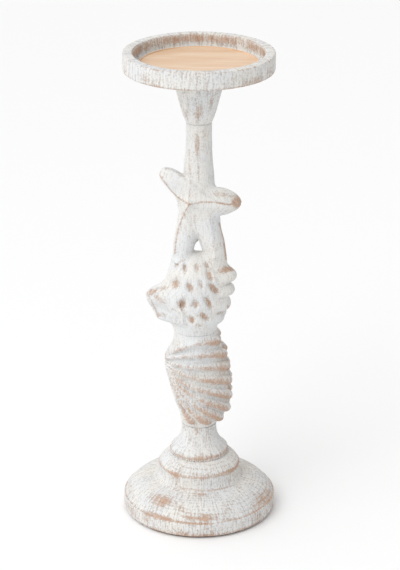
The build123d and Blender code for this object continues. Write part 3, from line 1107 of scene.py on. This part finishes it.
@dataclass
class SweptRibs:
    """Rounded ribs that geometry nodes sweep along lines, thin at the hinge, full at the margin.

    Attributes:
        root: Radius at the hinge, in millimetres.
        margin: Radius at the margin, in millimetres.
        sides: Points round a rib.
    """

    root: float = 0.7
    margin: float = 4.8
    sides: int = 16

    def radius(self, share: Array) -> Array:
        """Return a rib's radius at shares of the way along it."""
        return self.root + (self.margin - self.root) * share**SPREAD

    def tree(self) -> bpy.types.NodeTree:
        """Return the node tree that sweeps a circle along every line of a mesh."""
        inputs = {"Lines": "Geometry", "Root radius": "Float", "Margin radius": "Float", "Sides": "Int"}
        tree = open_tree("scallop_ribs", inputs)
        given = add_node(tree, "NodeGroupInput").outputs
        lines = add_node(tree, "GeometryNodeMeshToCurve", {}, {"Mesh": given["Lines"]}).outputs[0]
        along = add_node(tree, "GeometryNodeSplineParameter").outputs["Factor"]
        sizes = {"To Min": given["Root radius"], "To Max": given["Margin radius"]}
        spread = calc(tree, "POWER", along, SPREAD)
        growing = add_node(tree, "ShaderNodeMapRange", {}, {"Value": spread, **sizes}).outputs["Result"]
        limits = {"Value": along, "From Min": 0.9, "From Max": 1.0}
        end = add_node(tree, "ShaderNodeMapRange", {}, limits).outputs["Result"]
        blunt = calc(tree, "SQRT", calc(tree, "SUBTRACT", 1.01, calc(tree, "MULTIPLY", end, end)))
        scale = calc(tree, "MULTIPLY", growing, blunt)
        ring = {"Resolution": given["Sides"], "Radius": 1.0}
        circle = add_node(tree, "GeometryNodeCurvePrimitiveCircle", {}, ring).outputs["Curve"]
        sweep = {"Curve": lines, "Profile Curve": circle, "Scale": scale, "Fill Caps": True}
        close_tree(tree, add_node(tree, "GeometryNodeCurveToMesh", {}, sweep).outputs[0], given["Finish"])
        return tree

    def sweep(self, lines: list[Array], finish: bpy.types.Material) -> tuple[Array, Array]:
        """Sweep the ribs.

        Args:
            lines: Points of each rib's middle line, from the hinge to the margin.
            finish: The whitewash.

        Returns:
            Points in millimetres, and triangles.
        """
        edges, start = [], 0
        for line in lines:
            edges += [(start + k, start + k + 1) for k in range(len(line) - 1)]
            start += len(line)
        sizes = {"Root radius": self.root * MM, "Margin radius": self.margin * MM, "Sides": self.sides}
        shape = ((np.concatenate(lines) * MM).tolist(), edges, [])
        swept = evaluated_nodes("rib_lines", shape, self.tree(), {**sizes, "Finish": finish})
        swept.calc_loop_triangles()
        points = np.zeros(len(swept.vertices) * 3, dtype=np.float32)
        swept.vertices.foreach_get("co", points)
        corners = np.zeros(len(swept.loop_triangles) * 3, dtype=np.int32)
        swept.loop_triangles.foreach_get("vertices", corners)
        return points.reshape(-1, 3) / MM, corners.reshape(-1, 3)


def evaluated_nodes(
    name: str, shape: tuple[list, list, list], tree: bpy.types.NodeTree, sizes: dict[str, Any]
) -> bpy.types.Mesh:
    """Run a geometry node tree on a shape and return the plain mesh it makes.

    Args:
        name: Name of the passing object that carries the shape.
        shape: Its points in metres, edges and faces.
        tree: The node tree.
        sizes: Value of each named input.

    Returns:
        The new mesh.
    """
    mesh = bpy.data.meshes.new(name)
    mesh.from_pydata(*shape)
    source = bpy.data.objects.new(name, mesh)
    bpy.context.scene.collection.objects.link(source)
    modifier = source.modifiers.new(tree.name, "NODES")
    modifier.node_group = tree
    for item in tree.interface.items_tree:
        if item.in_out == "INPUT" and item.name in sizes:
            modifier[item.identifier] = sizes[item.name]
    graph = bpy.context.evaluated_depsgraph_get()
    made = bpy.data.meshes.new_from_object(source.evaluated_get(graph), depsgraph=graph)
    source.modifiers.remove(modifier)
    bpy.data.objects.remove(source)
    return made


@dataclass
class Scallop:
    """Closed scallop on its side, with ribs fanning from the hinge on the left."""

    levels: Levels
    ribs: SweptRibs = field(default_factory=SweptRibs)
    stops: int = 40  # points along a rib
    halvings: int = 24  # steps that find the shell's surface under each point

    def core(self, x: Array, y: Array, z: Array) -> Array:
        """Return the field of the smooth shell."""
        base = self.levels.foot
        stations = [
            # height, middle X, middle Y, half width, half depth
            (base - 4, 0.0, 0.0, 14.8, 14.8),
            (base + 1, 0.2, 0.0, 14.9, 14.8),
            (base + 5, 2.0, 0.0, 17.6, 17.0),
            (base + 9, 2.8, 0.0, 19.6, 18.6),
            (base + 16, 3.6, 0.0, 21.6, 20.2),
            (base + 22, 2.8, 0.0, 23.4, 21.0),
            (base + 30, 0.8, 0.0, 24.8, 21.4),
            (base + 40, -0.6, 0.0, 25.8, 21.4),
            (base + 50, -2.3, 0.0, 26.4, 20.4),
            (base + 57, -3.2, 0.0, 25.8, 19.0),
            (base + 64, -2.4, 0.0, 24.2, 18.0),
            (base + 71, -2.2, 0.0, 21.6, 17.2),
            (base + 78, -1.6, 0.0, 19.2, 16.9),
            (base + 82, -2.2, 0.0, 17.8, 16.9),
            (base + 85, -2.9, 0.0, 17.0, 17.0),
            (base + 89, -2.9, 0.0, 17.0, 17.0),
        ]
        return column_field(x, y, z, stations, 1.9)

    def fan(self) -> list[tuple[tuple[float, float], ...]]:
        """Return the crest of each rib as drawn on the front, from the hinge to the margin."""
        return [
            ((-28.0, 138.0), (-12.8, 145.7), (2.0, 150.3), (17.0, 151.7)),
            ((-28.2, 135.6), (-15.0, 137.5), (2.0, 139.0), (21.8, 140.0)),
            ((-28.2, 133.0), (-15.0, 129.4), (2.0, 128.0), (24.4, 128.6)),
            ((-28.2, 131.0), (-12.9, 121.4), (2.0, 117.2), (25.8, 115.6)),
            ((-27.8, 128.8), (-12.9, 114.2), (2.0, 107.8), (26.0, 102.2)),
            ((-27.3, 126.6), (-11.9, 107.2), (2.0, 98.4), (24.6, 91.0)),
            ((-26.7, 124.2), (-10.8, 100.6), (2.0, 90.2), (18.6, 81.4)),
            ((-26.0, 121.6), (-11.9, 94.9), (-1.2, 83.4), (9.6, 76.2)),
            ((-24.8, 117.7), (-15.1, 93.6), (-9.0, 82.4), (-3.0, 75.4)),
        ]

    def rib_lines(self) -> list[Array]:
        """Lay the middle line of every rib on the shell, front and back."""
        lines = []
        for crest in self.fan():
            corners = np.array(crest)
            steps = np.concatenate([[0.0], np.cumsum(np.hypot(*np.diff(corners, axis=0).T))])
            rows = [(s, *c) for s, c in zip(steps, corners)]
            at = np.linspace(0.0, steps[-1], self.stops)
            x, v = blend_between(at, rows, 1), blend_between(at, rows, 2)
            low, high = np.full(self.stops, -40.0), np.zeros(self.stops)
            for _ in range(self.halvings):
                middle = (low + high) / 2
                outside = self.core(x, middle, v - LOOK * middle) > 0
                low, high = np.where(outside, middle, low), np.where(outside, high, middle)
            sunk = 0.22 * self.ribs.radius(at / steps[-1])
            y = np.minimum(high + sunk, 0.0)
            z = v - LOOK * high
            lines.append(np.stack([x - 0.5 * sunk * (at / steps[-1]) ** 4, y, z], axis=1))
        return lines + [line * np.array([1.0, -1.0, 1.0]) for line in lines]

    def rub(self, points: Array) -> Array:
        """Return how far the ribs' crests are rubbed at each point."""
        x, y, z = points.T
        total = np.zeros(len(points))
        lines = self.rib_lines()
        for line in lines[: len(lines) // 2]:
            away = np.hypot(x[:, None] - line[:, 0], z[:, None] - line[:, 2])
            nearest = np.argmin(away, axis=1)
            share = nearest / (len(line) - 1)
            width = 0.82 * self.ribs.radius(share)
            crest_rub = np.exp(-((away[np.arange(len(x)), nearest] / width) ** 2))
            total = np.maximum(total, crest_rub * (0.42 + 0.52 * share**2))
        return total * smooth_step(0.0, 9.0, z - self.levels.foot)

    def build(self, conch: Conch, finish: bpy.types.Material) -> None:
        """Carve and dress the scallop.

        Args:
            conch: The block above.
            finish: The whitewash.
        """
        block = Block.around(*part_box("scallop"), (3, 3, 2), (3, 3, 2), 0.5)
        ribs = block.solid(*self.ribs.sweep(self.rib_lines(), finish))

        def shape(x: Array, y: Array, z: Array) -> Array:
            """Return the part of the joined stem that belongs to the scallop."""
            h = z - self.levels.foot
            hollow = 1.5 * smooth_step(3.0, 14.0, h) * smooth_step(78.0, 68.0, h)
            low_end = 4.0 * smooth_step(7.0, 0.0, h)
            own = smooth_min(self.core(x, y, z) + hollow, ribs + low_end, 1.8)
            whole = smooth_min(own, conch.field(x, y, z), 2.0)
            return np.maximum(np.maximum(whole, self.levels.foot - z), z - self.levels.neck)

        skin = block.carve(shape)
        finish_carving(skin, self.rub(skin.points), (self.levels.neck, self.levels.foot))
        place_piece(dressed(skin, "carved_scallop", finish), "scallop", "stand")


# ---------------------------------------------------------------- screws and plain pieces


@dataclass
class Screw:
    """A screw whose thread geometry nodes wind round its shank.

    Attributes:
        node: The frame node that it stands for.
        name: Name of the piece.
        shank: Radius under the thread, in millimetres.
        pitch: Rise of the thread for each turn.
        thread_low: Where the thread starts.
        thread_high: Where the thread ends.
        blocks: Rows of radius below, radius above, lower height, upper height and number of sides.
    """

    node: str
    name: str
    shank: float
    pitch: float
    thread_low: float
    thread_high: float
    blocks: tuple[tuple[float, float, float, float, int], ...]
    thread_share: float = 0.36  # half width of the thread, as a share of its pitch
    thread_steps: int = 28  # points of the thread for each turn

    def tree(self) -> bpy.types.NodeTree:
        """Return the node tree that winds the thread and adds it to the blocks of the screw."""
        sizes = ("Shank radius", "Pitch", "Thread start", "Thread length")
        tree = open_tree(self.name + "_thread", {"Blocks": "Geometry", **{size: "Float" for size in sizes}})
        given = add_node(tree, "NodeGroupInput").outputs
        radius, pitch, length = given["Shank radius"], given["Pitch"], given["Thread length"]
        helix = {"Resolution": self.thread_steps, "Rotations": calc(tree, "DIVIDE", length, pitch)}
        helix |= {"Start Radius": radius, "End Radius": radius, "Height": length}
        spiral = add_node(tree, "GeometryNodeCurveSpiral", {}, helix).outputs[0]
        lift = add_node(tree, "ShaderNodeCombineXYZ", {}, {"Z": given["Thread start"]}).outputs[0]
        placed = add_node(tree, "GeometryNodeTransform", {}, {"Geometry": spiral, "Translation": lift}).outputs[0]
        diamond = {"Resolution": 4, "Radius": calc(tree, "MULTIPLY", pitch, self.thread_share)}
        profile = add_node(tree, "GeometryNodeCurvePrimitiveCircle", {}, diamond).outputs[0]
        sweep = {"Curve": placed, "Profile Curve": profile, "Fill Caps": True}
        thread = add_node(tree, "GeometryNodeCurveToMesh", {}, sweep).outputs[0]
        joined = add_node(tree, "GeometryNodeJoinGeometry")
        tree.links.new(given["Blocks"], joined.inputs[0])
        tree.links.new(thread, joined.inputs[0])
        close_tree(tree, joined.outputs[0], given["Finish"])
        return tree

    def build(self, finish: bpy.types.Material) -> None:
        """Make and dress the screw.

        Args:
            finish: The metal.
        """
        points: list[Point] = []
        faces: list[list[int]] = []
        for low_radius, high_radius, low, high, sides in self.blocks:
            start = len(points)
            for radius, height in ((low_radius, low), (high_radius, high)):
                for side in range(sides):
                    turn = 2 * math.pi * side / sides
                    points.append((radius * math.cos(turn) * MM, radius * math.sin(turn) * MM, height * MM))
            faces.append([start + side for side in reversed(range(sides))])
            faces.append([start + sides + side for side in range(sides)])
            for side in range(sides):
                ahead = (side + 1) % sides
                faces.append([start + side, start + ahead, start + sides + ahead, start + sides + side])
        sizes = {
            "Shank radius": self.shank * MM,
            "Pitch": self.pitch * MM,
            "Thread start": self.thread_low * MM,
            "Thread length": (self.thread_high - self.thread_low) * MM,
            "Finish": finish,
        }
        wound = evaluated_nodes(self.name, (points, [], faces), self.tree(), sizes)
        piece = bpy.data.objects.new(self.name, wound)
        bpy.context.scene.collection.objects.link(piece)
        dress(piece, finish)
        place_piece(piece, self.node, "stand")


def screws() -> list[Screw]:
    """Return both screws, sized from the frame."""
    long_shank, short_shank = 3.4, 1.75
    low, high = (corner.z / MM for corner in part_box("base_screw"))
    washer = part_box("base_washer")[0].z / MM
    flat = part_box("base_screw")[1].y / MM
    hexagon = flat / math.cos(math.pi / 6) - TUCK
    hex_head = (
        (hexagon, hexagon, low, washer, 6),
        (long_shank, long_shank, washer - 0.5, high - 2.0, 32),
        (long_shank, 1.8, high - 2.0, high, 32),
    )
    tip, top = (corner.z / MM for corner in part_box("dish_screw"))
    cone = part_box("dish_screw")[1].x / MM - TUCK
    flat_head = (
        (short_shank, cone, top - 2.6, top, 40),
        (short_shank, short_shank, tip + 4.0, top - 2.4, 24),
        (0.2, short_shank, tip, tip + 4.0, 24),
    )
    return [
        Screw("base_screw", "hex_head_base_screw", long_shank, 1.25, washer + 8.0, high - 3.0, hex_head),
        Screw("dish_screw", "countersunk_dish_screw", short_shank, 1.1, tip + 4.0, top - 9.0, flat_head),
    ]


def dress_plain_pieces(frame: dict[str, Any]) -> None:
    """Dress the pieces that keep the frame's own shapes.

    Args:
        frame: The loaded frame.
    """
    plain = {"felt_pad": FELT, "base_washer": ZINC, "drip_plate": PLATE_LACQUER}
    plain |= {node: BEECH for node in ("foot_dowel", "neck_dowel", "leg_dowels", "shaft_dowel")}
    made: dict[str, bpy.types.Material] = {}
    for node, finish in plain.items():
        if finish.name not in made:
            made[finish.name] = finish.build()
        dress(frame["nodes"][node], made[finish.name])
        log.info("%s: %s", node, finish.name)


# ---------------------------------------------------------------- turned pieces


@dataclass(frozen=True)
class RubAndShadeBand:
    """A jagged band of bare-wood colour round a turned piece: rubbed-through paint on an edge, painted shade in a cove.

    Attributes:
        radius: Radius of the band's middle.
        height: Height of the band's middle.
        reach: Usual width of the band.
        strength: How strong the band is, 0 to 1: how far the paint is rubbed on an edge, how dark the painted shade is
            in a cove.
        heavy: Turns in degrees where the band is heaviest.
    """

    radius: float
    height: float
    reach: float
    strength: float
    heavy: tuple[float, ...] = ()


@dataclass(frozen=True)
class Patch:
    """A rubbed patch on a turned piece.

    Attributes:
        turn: Its middle, in degrees round from +X.
        radius: Radius of its middle.
        height: Height of its middle.
        around: Half width round the piece.
        along: Half width along the outline.
        wear: How far it is rubbed, 0 to 1.
    """

    turn: float
    radius: float
    height: float
    around: float
    along: float
    wear: float


@dataclass
class Turning:
    """A piece turned on the lathe from an outline.

    Attributes:
        node: The frame node that it stands for.
        name: Name of the piece.
        outline: Radius and height along the outside, from the axis at the bottom to the axis at
            the top.
        spacing: Distance between points along the outline.
        segments: Points around.
        edges: Its worn edges, and on the base a band of painted shade in the cove.
        patches: Its rubbed patches.
        rings: Strength of the growth rings that show, 0 to 1.
    """

    node: str
    name: str
    outline: Outline
    spacing: float = 0.6
    segments: int = 512
    edges: tuple[RubAndShadeBand, ...] = ()
    patches: tuple[Patch, ...] = ()
    rings: float = 0.0

    def path(self) -> Array:
        """Return the outline resampled at even steps, keeping its corners."""
        corners = np.array(self.outline)
        runs = []
        for start, end in zip(corners[:-1], corners[1:]):
            count = max(1, round(float(np.linalg.norm(end - start)) / self.spacing))
            share = np.arange(count)[:, None] / count
            runs.append(start + (end - start) * share)
        return np.concatenate(runs + [corners[-1:]])

    def skin(self) -> Skin:
        """Return the closed turned surface."""
        path = self.path()
        rings = path[1:-1]
        turn = np.arange(self.segments) * 2 * math.pi / self.segments
        x = rings[:, :1] * np.cos(turn)
        y = rings[:, :1] * np.sin(turn)
        z = np.repeat(rings[:, 1:], self.segments, axis=1)
        points = np.stack([x, y, z], axis=-1).reshape(-1, 3)
        bottom, top = len(points), len(points) + 1
        points = np.concatenate([points, [[0, 0, path[0, 1]], [0, 0, path[-1, 1]]]])
        around = np.arange(self.segments)
        ahead = (around + 1) % self.segments
        faces = []
        for ring in range(len(rings) - 1):
            a, b = ring * self.segments, (ring + 1) * self.segments
            faces.append(np.stack([a + around, a + ahead, b + ahead, b + around], axis=1))
        last = (len(rings) - 1) * self.segments
        faces.append(np.stack([ahead, around, 0 * around + bottom, 0 * around + bottom], axis=1))
        faces.append(np.stack([last + around, last + ahead, 0 * around + top, 0 * around + top], axis=1))
        skin = Skin(points, np.concatenate(faces))
        steps = np.concatenate([[0], np.cumsum(np.linalg.norm(np.diff(path, axis=0), axis=1))])
        length = np.repeat(steps[1:-1], self.segments)
        length = np.concatenate([length, [steps[0], steps[-1]]])
        girth = np.concatenate([np.tile(turn, len(rings)), [0.0, 0.0]])
        size = float(np.max(path[:, 0])) * 0.7
        skin.grain = np.stack([girth * size, length, np.zeros_like(length)], axis=1)
        return skin

    def build(self, finish: bpy.types.Material) -> None:
        """Turn, wear and dress the piece.

        Args:
            finish: The whitewash.
        """
        skin = self.skin()
        skin.wear = self.rub(skin.points)
        chips = np.maximum(layered_noise(skin.points, 3.5, 2, 31) - 0.1, 0.0)
        heights = -0.8 * chips * np.minimum(skin.wear, 1.0) - 0.07 * (1 + layered_noise(skin.points, 9.0, 2, 7))
        skin.push(heights - 0.04 * (1 + layered_noise(skin.grain / np.array([1.1, 8.0, 1.0]), 1.0, 2, 13)))
        place_piece(dressed(skin, self.name, finish), self.node, "stand")

    def rub(self, points: Array) -> Array:
        """Return how far the paint is rubbed at each point, with a band of painted shade in the base's cove."""
        x, y, z = points.T
        r = np.hypot(x, y)
        turn = np.arctan2(y, x)
        ring = np.stack([x, y, 0 * z], axis=1) * (40.0 / np.maximum(r, 1.0))[:, None]
        comb = 0.5 + 0.5 * layered_noise(ring, 1.6, 2, 41)
        slow = 0.5 + 0.5 * layered_noise(ring, 11.0, 2, 43)
        total = np.zeros(len(r))
        for edge in self.edges:
            load = np.full(len(r), 0.55)
            for heavy in edge.heavy:
                gap = np.angle(np.exp(1j * (turn - math.radians(heavy))))
                load = np.maximum(load, 1.15 * np.exp(-((gap / 0.5) ** 2)))
            reach = edge.reach * (0.35 + 1.1 * comb * slow + 0.35 * load)
            away = np.hypot(r - edge.radius, z - edge.height) / reach
            total = np.maximum(total, edge.strength * np.exp(-away * away) * (0.5 + 0.7 * slow + 0.3 * load))
        for patch in self.patches:
            gap = np.angle(np.exp(1j * (turn - math.radians(patch.turn)))) * np.maximum(patch.radius, 1.0)
            along = np.hypot(r - patch.radius, z - patch.height)
            share = np.exp(-((gap / patch.around) ** 2 + (along / patch.along) ** 2) ** 1.3)
            total = np.maximum(total, patch.wear * share * (0.55 + 0.9 * comb))
        if self.rings:
            bent = r + 1.6 * layered_noise(points, 18.0, 2, 47) - 0.05 * x
            arcs = smooth_step(0.1, 0.9, np.sin(bent * 2 * math.pi / 2.9 + 3 * slow))
            side = smooth_step(-0.5, 0.6, np.cos(turn + math.radians(45)))
            total = total + self.rings * arcs * side * (0.4 + 0.8 * slow)
        return np.minimum(total + 0.10 * slow, 1.1)


def arc_points(start: tuple[float, float], end: tuple[float, float], bulge: float, count: int) -> Outline:
    """Return points on a shallow arc.

    Args:
        start: First point.
        end: Last point.
        bulge: Height of the arc over its chord, to the right of the way from start to end.
        count: How many points, both ends included.

    Returns:
        The points.
    """
    (ax, ay), (bx, by) = start, end
    chord = math.hypot(bx - ax, by - ay)
    nx, ny = (by - ay) / chord, -(bx - ax) / chord
    points = []
    for k in range(count):
        t = k / (count - 1)
        rise = 4 * t * (1 - t) * bulge
        points.append((ax + (bx - ax) * t + nx * rise, ay + (by - ay) * t + ny * rise))
    return points


def turned_pieces() -> list[Turning]:
    """Return the turned pieces, sized from the frame."""
    base_low, base_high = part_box("base")
    rim, ground, bell = base_high.x / MM, base_low.z / MM, base_high.z / MM
    band, dome, ring_edge, ring = ground + 12.6, ground + 28.0, bell - 9.5, 34.3
    base = [(0, ground), (rim - 1.6, ground), (rim - 0.4, ground + 0.5), (rim, ground + 1.6)]
    base += [(rim, band - 1.4), (rim - 0.5, band - 0.4), (rim - 1.6, band)]
    base += arc_points((rim - 1.6, band), (ring + 5.0, dome - 1.5), 3.2, 12)[1:]
    base += arc_points((ring + 5.0, dome - 1.5), (ring - 0.4, dome + 5.5), -1.7, 8)[1:]
    base += [(ring - 0.2, ring_edge - 1.6), (ring, ring_edge - 0.3), (ring - 0.5, ring_edge + 0.6)]
    base += arc_points((ring - 0.5, ring_edge + 0.6), (25.8, bell - 0.6), 0.5, 6)[1:]
    base += [(24.6, bell), (0, bell)]
    foot_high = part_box("pedestal")[1]
    wide, top = foot_high.x / MM, foot_high.z / MM
    pedestal = [(0, bell - 1), (wide - 1.4, bell - 1), (wide - 0.6, bell + 0.6)]
    pedestal += [(wide, bell + 3.2), (wide - 0.8, bell + 5)]
    pedestal += arc_points((wide - 0.8, bell + 5), (14.8, top), -3.4, 10)[1:] + [(0, top)]
    cup_low, cup_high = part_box("capital")
    low, high = cup_low.z / MM, cup_high.z / MM
    capital = [(0, low), (10.0, low), (10.5, low + 0.4), (11.2, low + 1.6), (12.3, low + 4.5), (13.6, low + 8)]
    capital += [(14.7, low + 12), (16.3, low + 18), (17.8, low + 24), (20.0, low + 34), (22.0, high), (0, high)]
    dish_low, dish_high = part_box("candle_dish")
    reach, under, over = dish_high.x / MM, dish_low.z / MM, dish_high.z / MM
    well, floor = 52.3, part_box("drip_plate")[0].z / MM
    dish = [(0, under), (reach - 1.6, under), (reach - 0.4, under + 0.5), (reach, under + 1.6)]
    dish += [(reach, over - 1.4), (reach - 0.4, over - 0.4), (reach - 1.4, over)]
    dish += [(well + 1.2, over), (well + 0.3, over - 0.3), (well, over - 1.2), (well, floor + 0.6), (well - 0.6, floor)]
    dish += [(0, floor)]
    base_edges = (
        RubAndShadeBand(ring, ring_edge, 2.2, 0.62, (-15.0, 175.0, 150.0, -160.0, -35.0)),
        RubAndShadeBand(rim - 1.0, band, 1.2, 0.58, (-122.0, -95.0, -20.0, -175.0)),
        RubAndShadeBand(rim, ground + 1.0, 2.2, 0.55, (-90.0, -45.0)),
        # painted shade: a band of bare-wood colour in the concave cove at the ring's foot, where shade falls
        RubAndShadeBand(ring + 2.0, dome + 1.0, 2.2, 0.30, (-90.0,)),
    )
    base_patches = (
        Patch(-128, 50, band + 7.5, 13, 6, 0.75),
        Patch(-86, 59, band + 2.8, 15, 3.4, 0.72),
        Patch(-24, 59.5, band + 2.4, 19, 6, 0.62),
        Patch(-120, 62, band + 0.8, 13, 2.2, 0.70),
        Patch(-104, 53, band + 6.0, 7, 3, 0.45),
        Patch(-88, 38, dome - 0.6, 6, 2.6, 0.55),
        Patch(-172, 59, band + 2.8, 18, 4, 0.42),
        Patch(60, 56, band + 4.5, 18, 6, 0.45),
        Patch(130, 50, band + 7.5, 15, 6, 0.50),
        Patch(-150, rim, ground + 6, 22, 5, 0.42),
        Patch(-105, rim, ground + 3, 18, 3, 0.45),
        Patch(-40, rim, ground + 7, 16, 5, 0.38),
        Patch(40, rim, ground + 6, 25, 5, 0.40),
    )
    foot_edges = (RubAndShadeBand(wide, bell + 3.0, 2.8, 0.62, (-75.0, -20.0, 30.0)), RubAndShadeBand(wide - 0.8, bell, 1.4, 0.4))
    foot_patches = (Patch(-95, 15.5, top - 3, 5, 3, 0.5), Patch(-60, 17, top - 7, 3, 4, 0.35))
    cup_patches = (
        Patch(-90, 15.0, low + 12, 2.4, 12, 0.52),
        Patch(-40, 20.5, high - 4, 8, 5, 0.52),
        Patch(-55, 17.5, low + 22, 3, 9, 0.40),
        Patch(-140, 14.5, low + 11, 4, 6, 0.30),
        Patch(70, 18.0, low + 20, 6, 8, 0.35),
    )
    dish_edges = (
        RubAndShadeBand(reach, over, 0.9, 0.62, (-140.0, -60.0)),
        RubAndShadeBand(reach, under + 0.6, 1.3, 0.62, (-35.0, -50.0)),
        RubAndShadeBand(well, over - 0.3, 0.9, 0.55, (180.0, 160.0, -160.0)),
    )
    dish_patches = (
        Patch(-45, reach, under + 3, 12, 4, 0.55),
        Patch(-22, reach, under + 6, 10, 4, 0.35),
        Patch(-135, reach, under + 5, 18, 4, 0.26),
        Patch(20, well, floor + 5.5, 26, 4, 0.82),
        Patch(155, well, floor + 5.5, 26, 4, 0.78),
        Patch(90, well, floor + 6.5, 60, 4, 0.66),
        Patch(-90, well, floor + 5.5, 60, 5, 0.60),
    )
    return [
        Turning("base", "turned_base", base, 0.62, 600, base_edges, base_patches, 0.34),
        Turning("pedestal", "turned_pedestal", pedestal, 0.5, 300, foot_edges, foot_patches),
        Turning("capital", "turned_capital", capital, 0.5, 280, (), cup_patches),
        Turning("candle_dish", "turned_candle_dish", dish, 0.62, 600, dish_edges, dish_patches),
    ]


# ---------------------------------------------------------------- studio


@dataclass
class Studio:
    """Pale floor, soft lights and the camera."""

    distance: float = 1.613
    height: float = 0.8585
    pitch: float = 22.16
    lens: float = 133.9
    left_fill: float = 1.15
    right_fill: float = 0.60
    sun: float = 0.55

    def build(self) -> None:
        """Set up camera, floor and lights."""
        scene = bpy.context.scene
        scene.view_settings.view_transform = "Standard"
        camera = bpy.data.objects.new("camera", bpy.data.cameras.new("camera"))
        scene.collection.objects.link(camera)
        camera.location = (0.0008, -self.distance, self.height)
        camera.rotation_euler = (math.radians(90 - self.pitch), 0, 0)
        camera.data.lens = self.lens
        camera.data.clip_end = 50
        scene.camera = camera
        mesh = bpy.data.meshes.new("floor")
        mesh.from_pydata([(-6, -6, 0), (6, -6, 0), (6, 6, 0), (-6, 6, 0)], [], [(0, 1, 2, 3)])
        floor = bpy.data.objects.new("floor", mesh)
        scene.collection.objects.link(floor)
        paper = bpy.data.materials.new("matt_paper_floor")
        paper.use_nodes = True
        paper.node_tree.nodes["Principled BSDF"].inputs["Base Color"].default_value = linear("F6F6F6")
        paper.node_tree.nodes["Principled BSDF"].inputs["Roughness"].default_value = 0.95
        dress(floor, paper)
        world = bpy.data.worlds.new("studio")
        world.use_nodes = True
        tree = world.node_tree
        place = add_node(tree, "ShaderNodeTexCoord").outputs["Generated"]
        side = add_node(tree, "ShaderNodeSeparateXYZ", {}, {"Vector": place}).outputs["X"]
        limits = {"Value": side, "From Min": -0.8, "From Max": 0.8, "To Min": self.left_fill, "To Max": self.right_fill}
        strength = add_node(tree, "ShaderNodeMapRange", {}, limits).outputs["Result"]
        tree.links.new(strength, tree.nodes["Background"].inputs["Strength"])
        tree.nodes["Background"].inputs["Color"].default_value = (1, 1, 1, 1)
        scene.world = world
        self.lamp("key", (-0.9, -1.1, 1.6), 1.0, 6.0)
        sun = bpy.data.lights.new("window", "SUN")
        sun.energy, sun.angle = self.sun, math.radians(50)
        window = bpy.data.objects.new("window", sun)
        scene.collection.objects.link(window)
        window.rotation_euler = Vector((0.75, 0.7, -1.3)).to_track_quat("-Z", "Y").to_euler()

    def lamp(self, name: str, place: Point, size: float, power: float) -> None:
        """Hang a soft square light that looks at the middle of the stand.

        Args:
            name: Name of the light.
            place: Where it hangs, in metres.
            size: Side in metres.
            power: Watts.
        """
        light = bpy.data.lights.new(name, "AREA")
        light.size = size
        light.energy = power
        lamp = bpy.data.objects.new(name, light)
        bpy.context.scene.collection.objects.link(lamp)
        lamp.location = place
        aim = Vector((0, 0, 0.2)) - Vector(place)
        lamp.rotation_euler = aim.to_track_quat("-Z", "Y").to_euler()


def main() -> None:
    """Build the looks around the frame, piece by piece."""
    logging.basicConfig(level=logging.INFO, format="%(message)s")
    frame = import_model()
    levels = Levels.read()
    # the turned pieces
    wash = Whitewash().build()
    # the carved pieces: shorter strokes and fainter streaks
    smooth_wash = Whitewash("limewashed_mango_wood_carved", stroke_length=7.0, streaks=0.42).build()
    star, conch, scallop = Starfish(levels), Conch(levels), Scallop(levels)
    star.build(conch, smooth_wash)
    conch.build(star, scallop, smooth_wash)
    scallop.build(conch, smooth_wash)
    for piece in turned_pieces():
        piece.build(wash)
    zinc = ZINC.build()
    for screw in screws():
        screw.build(zinc)
    dress_plain_pieces(frame)
    Studio().build()


if __name__ == "__main__":
    main()
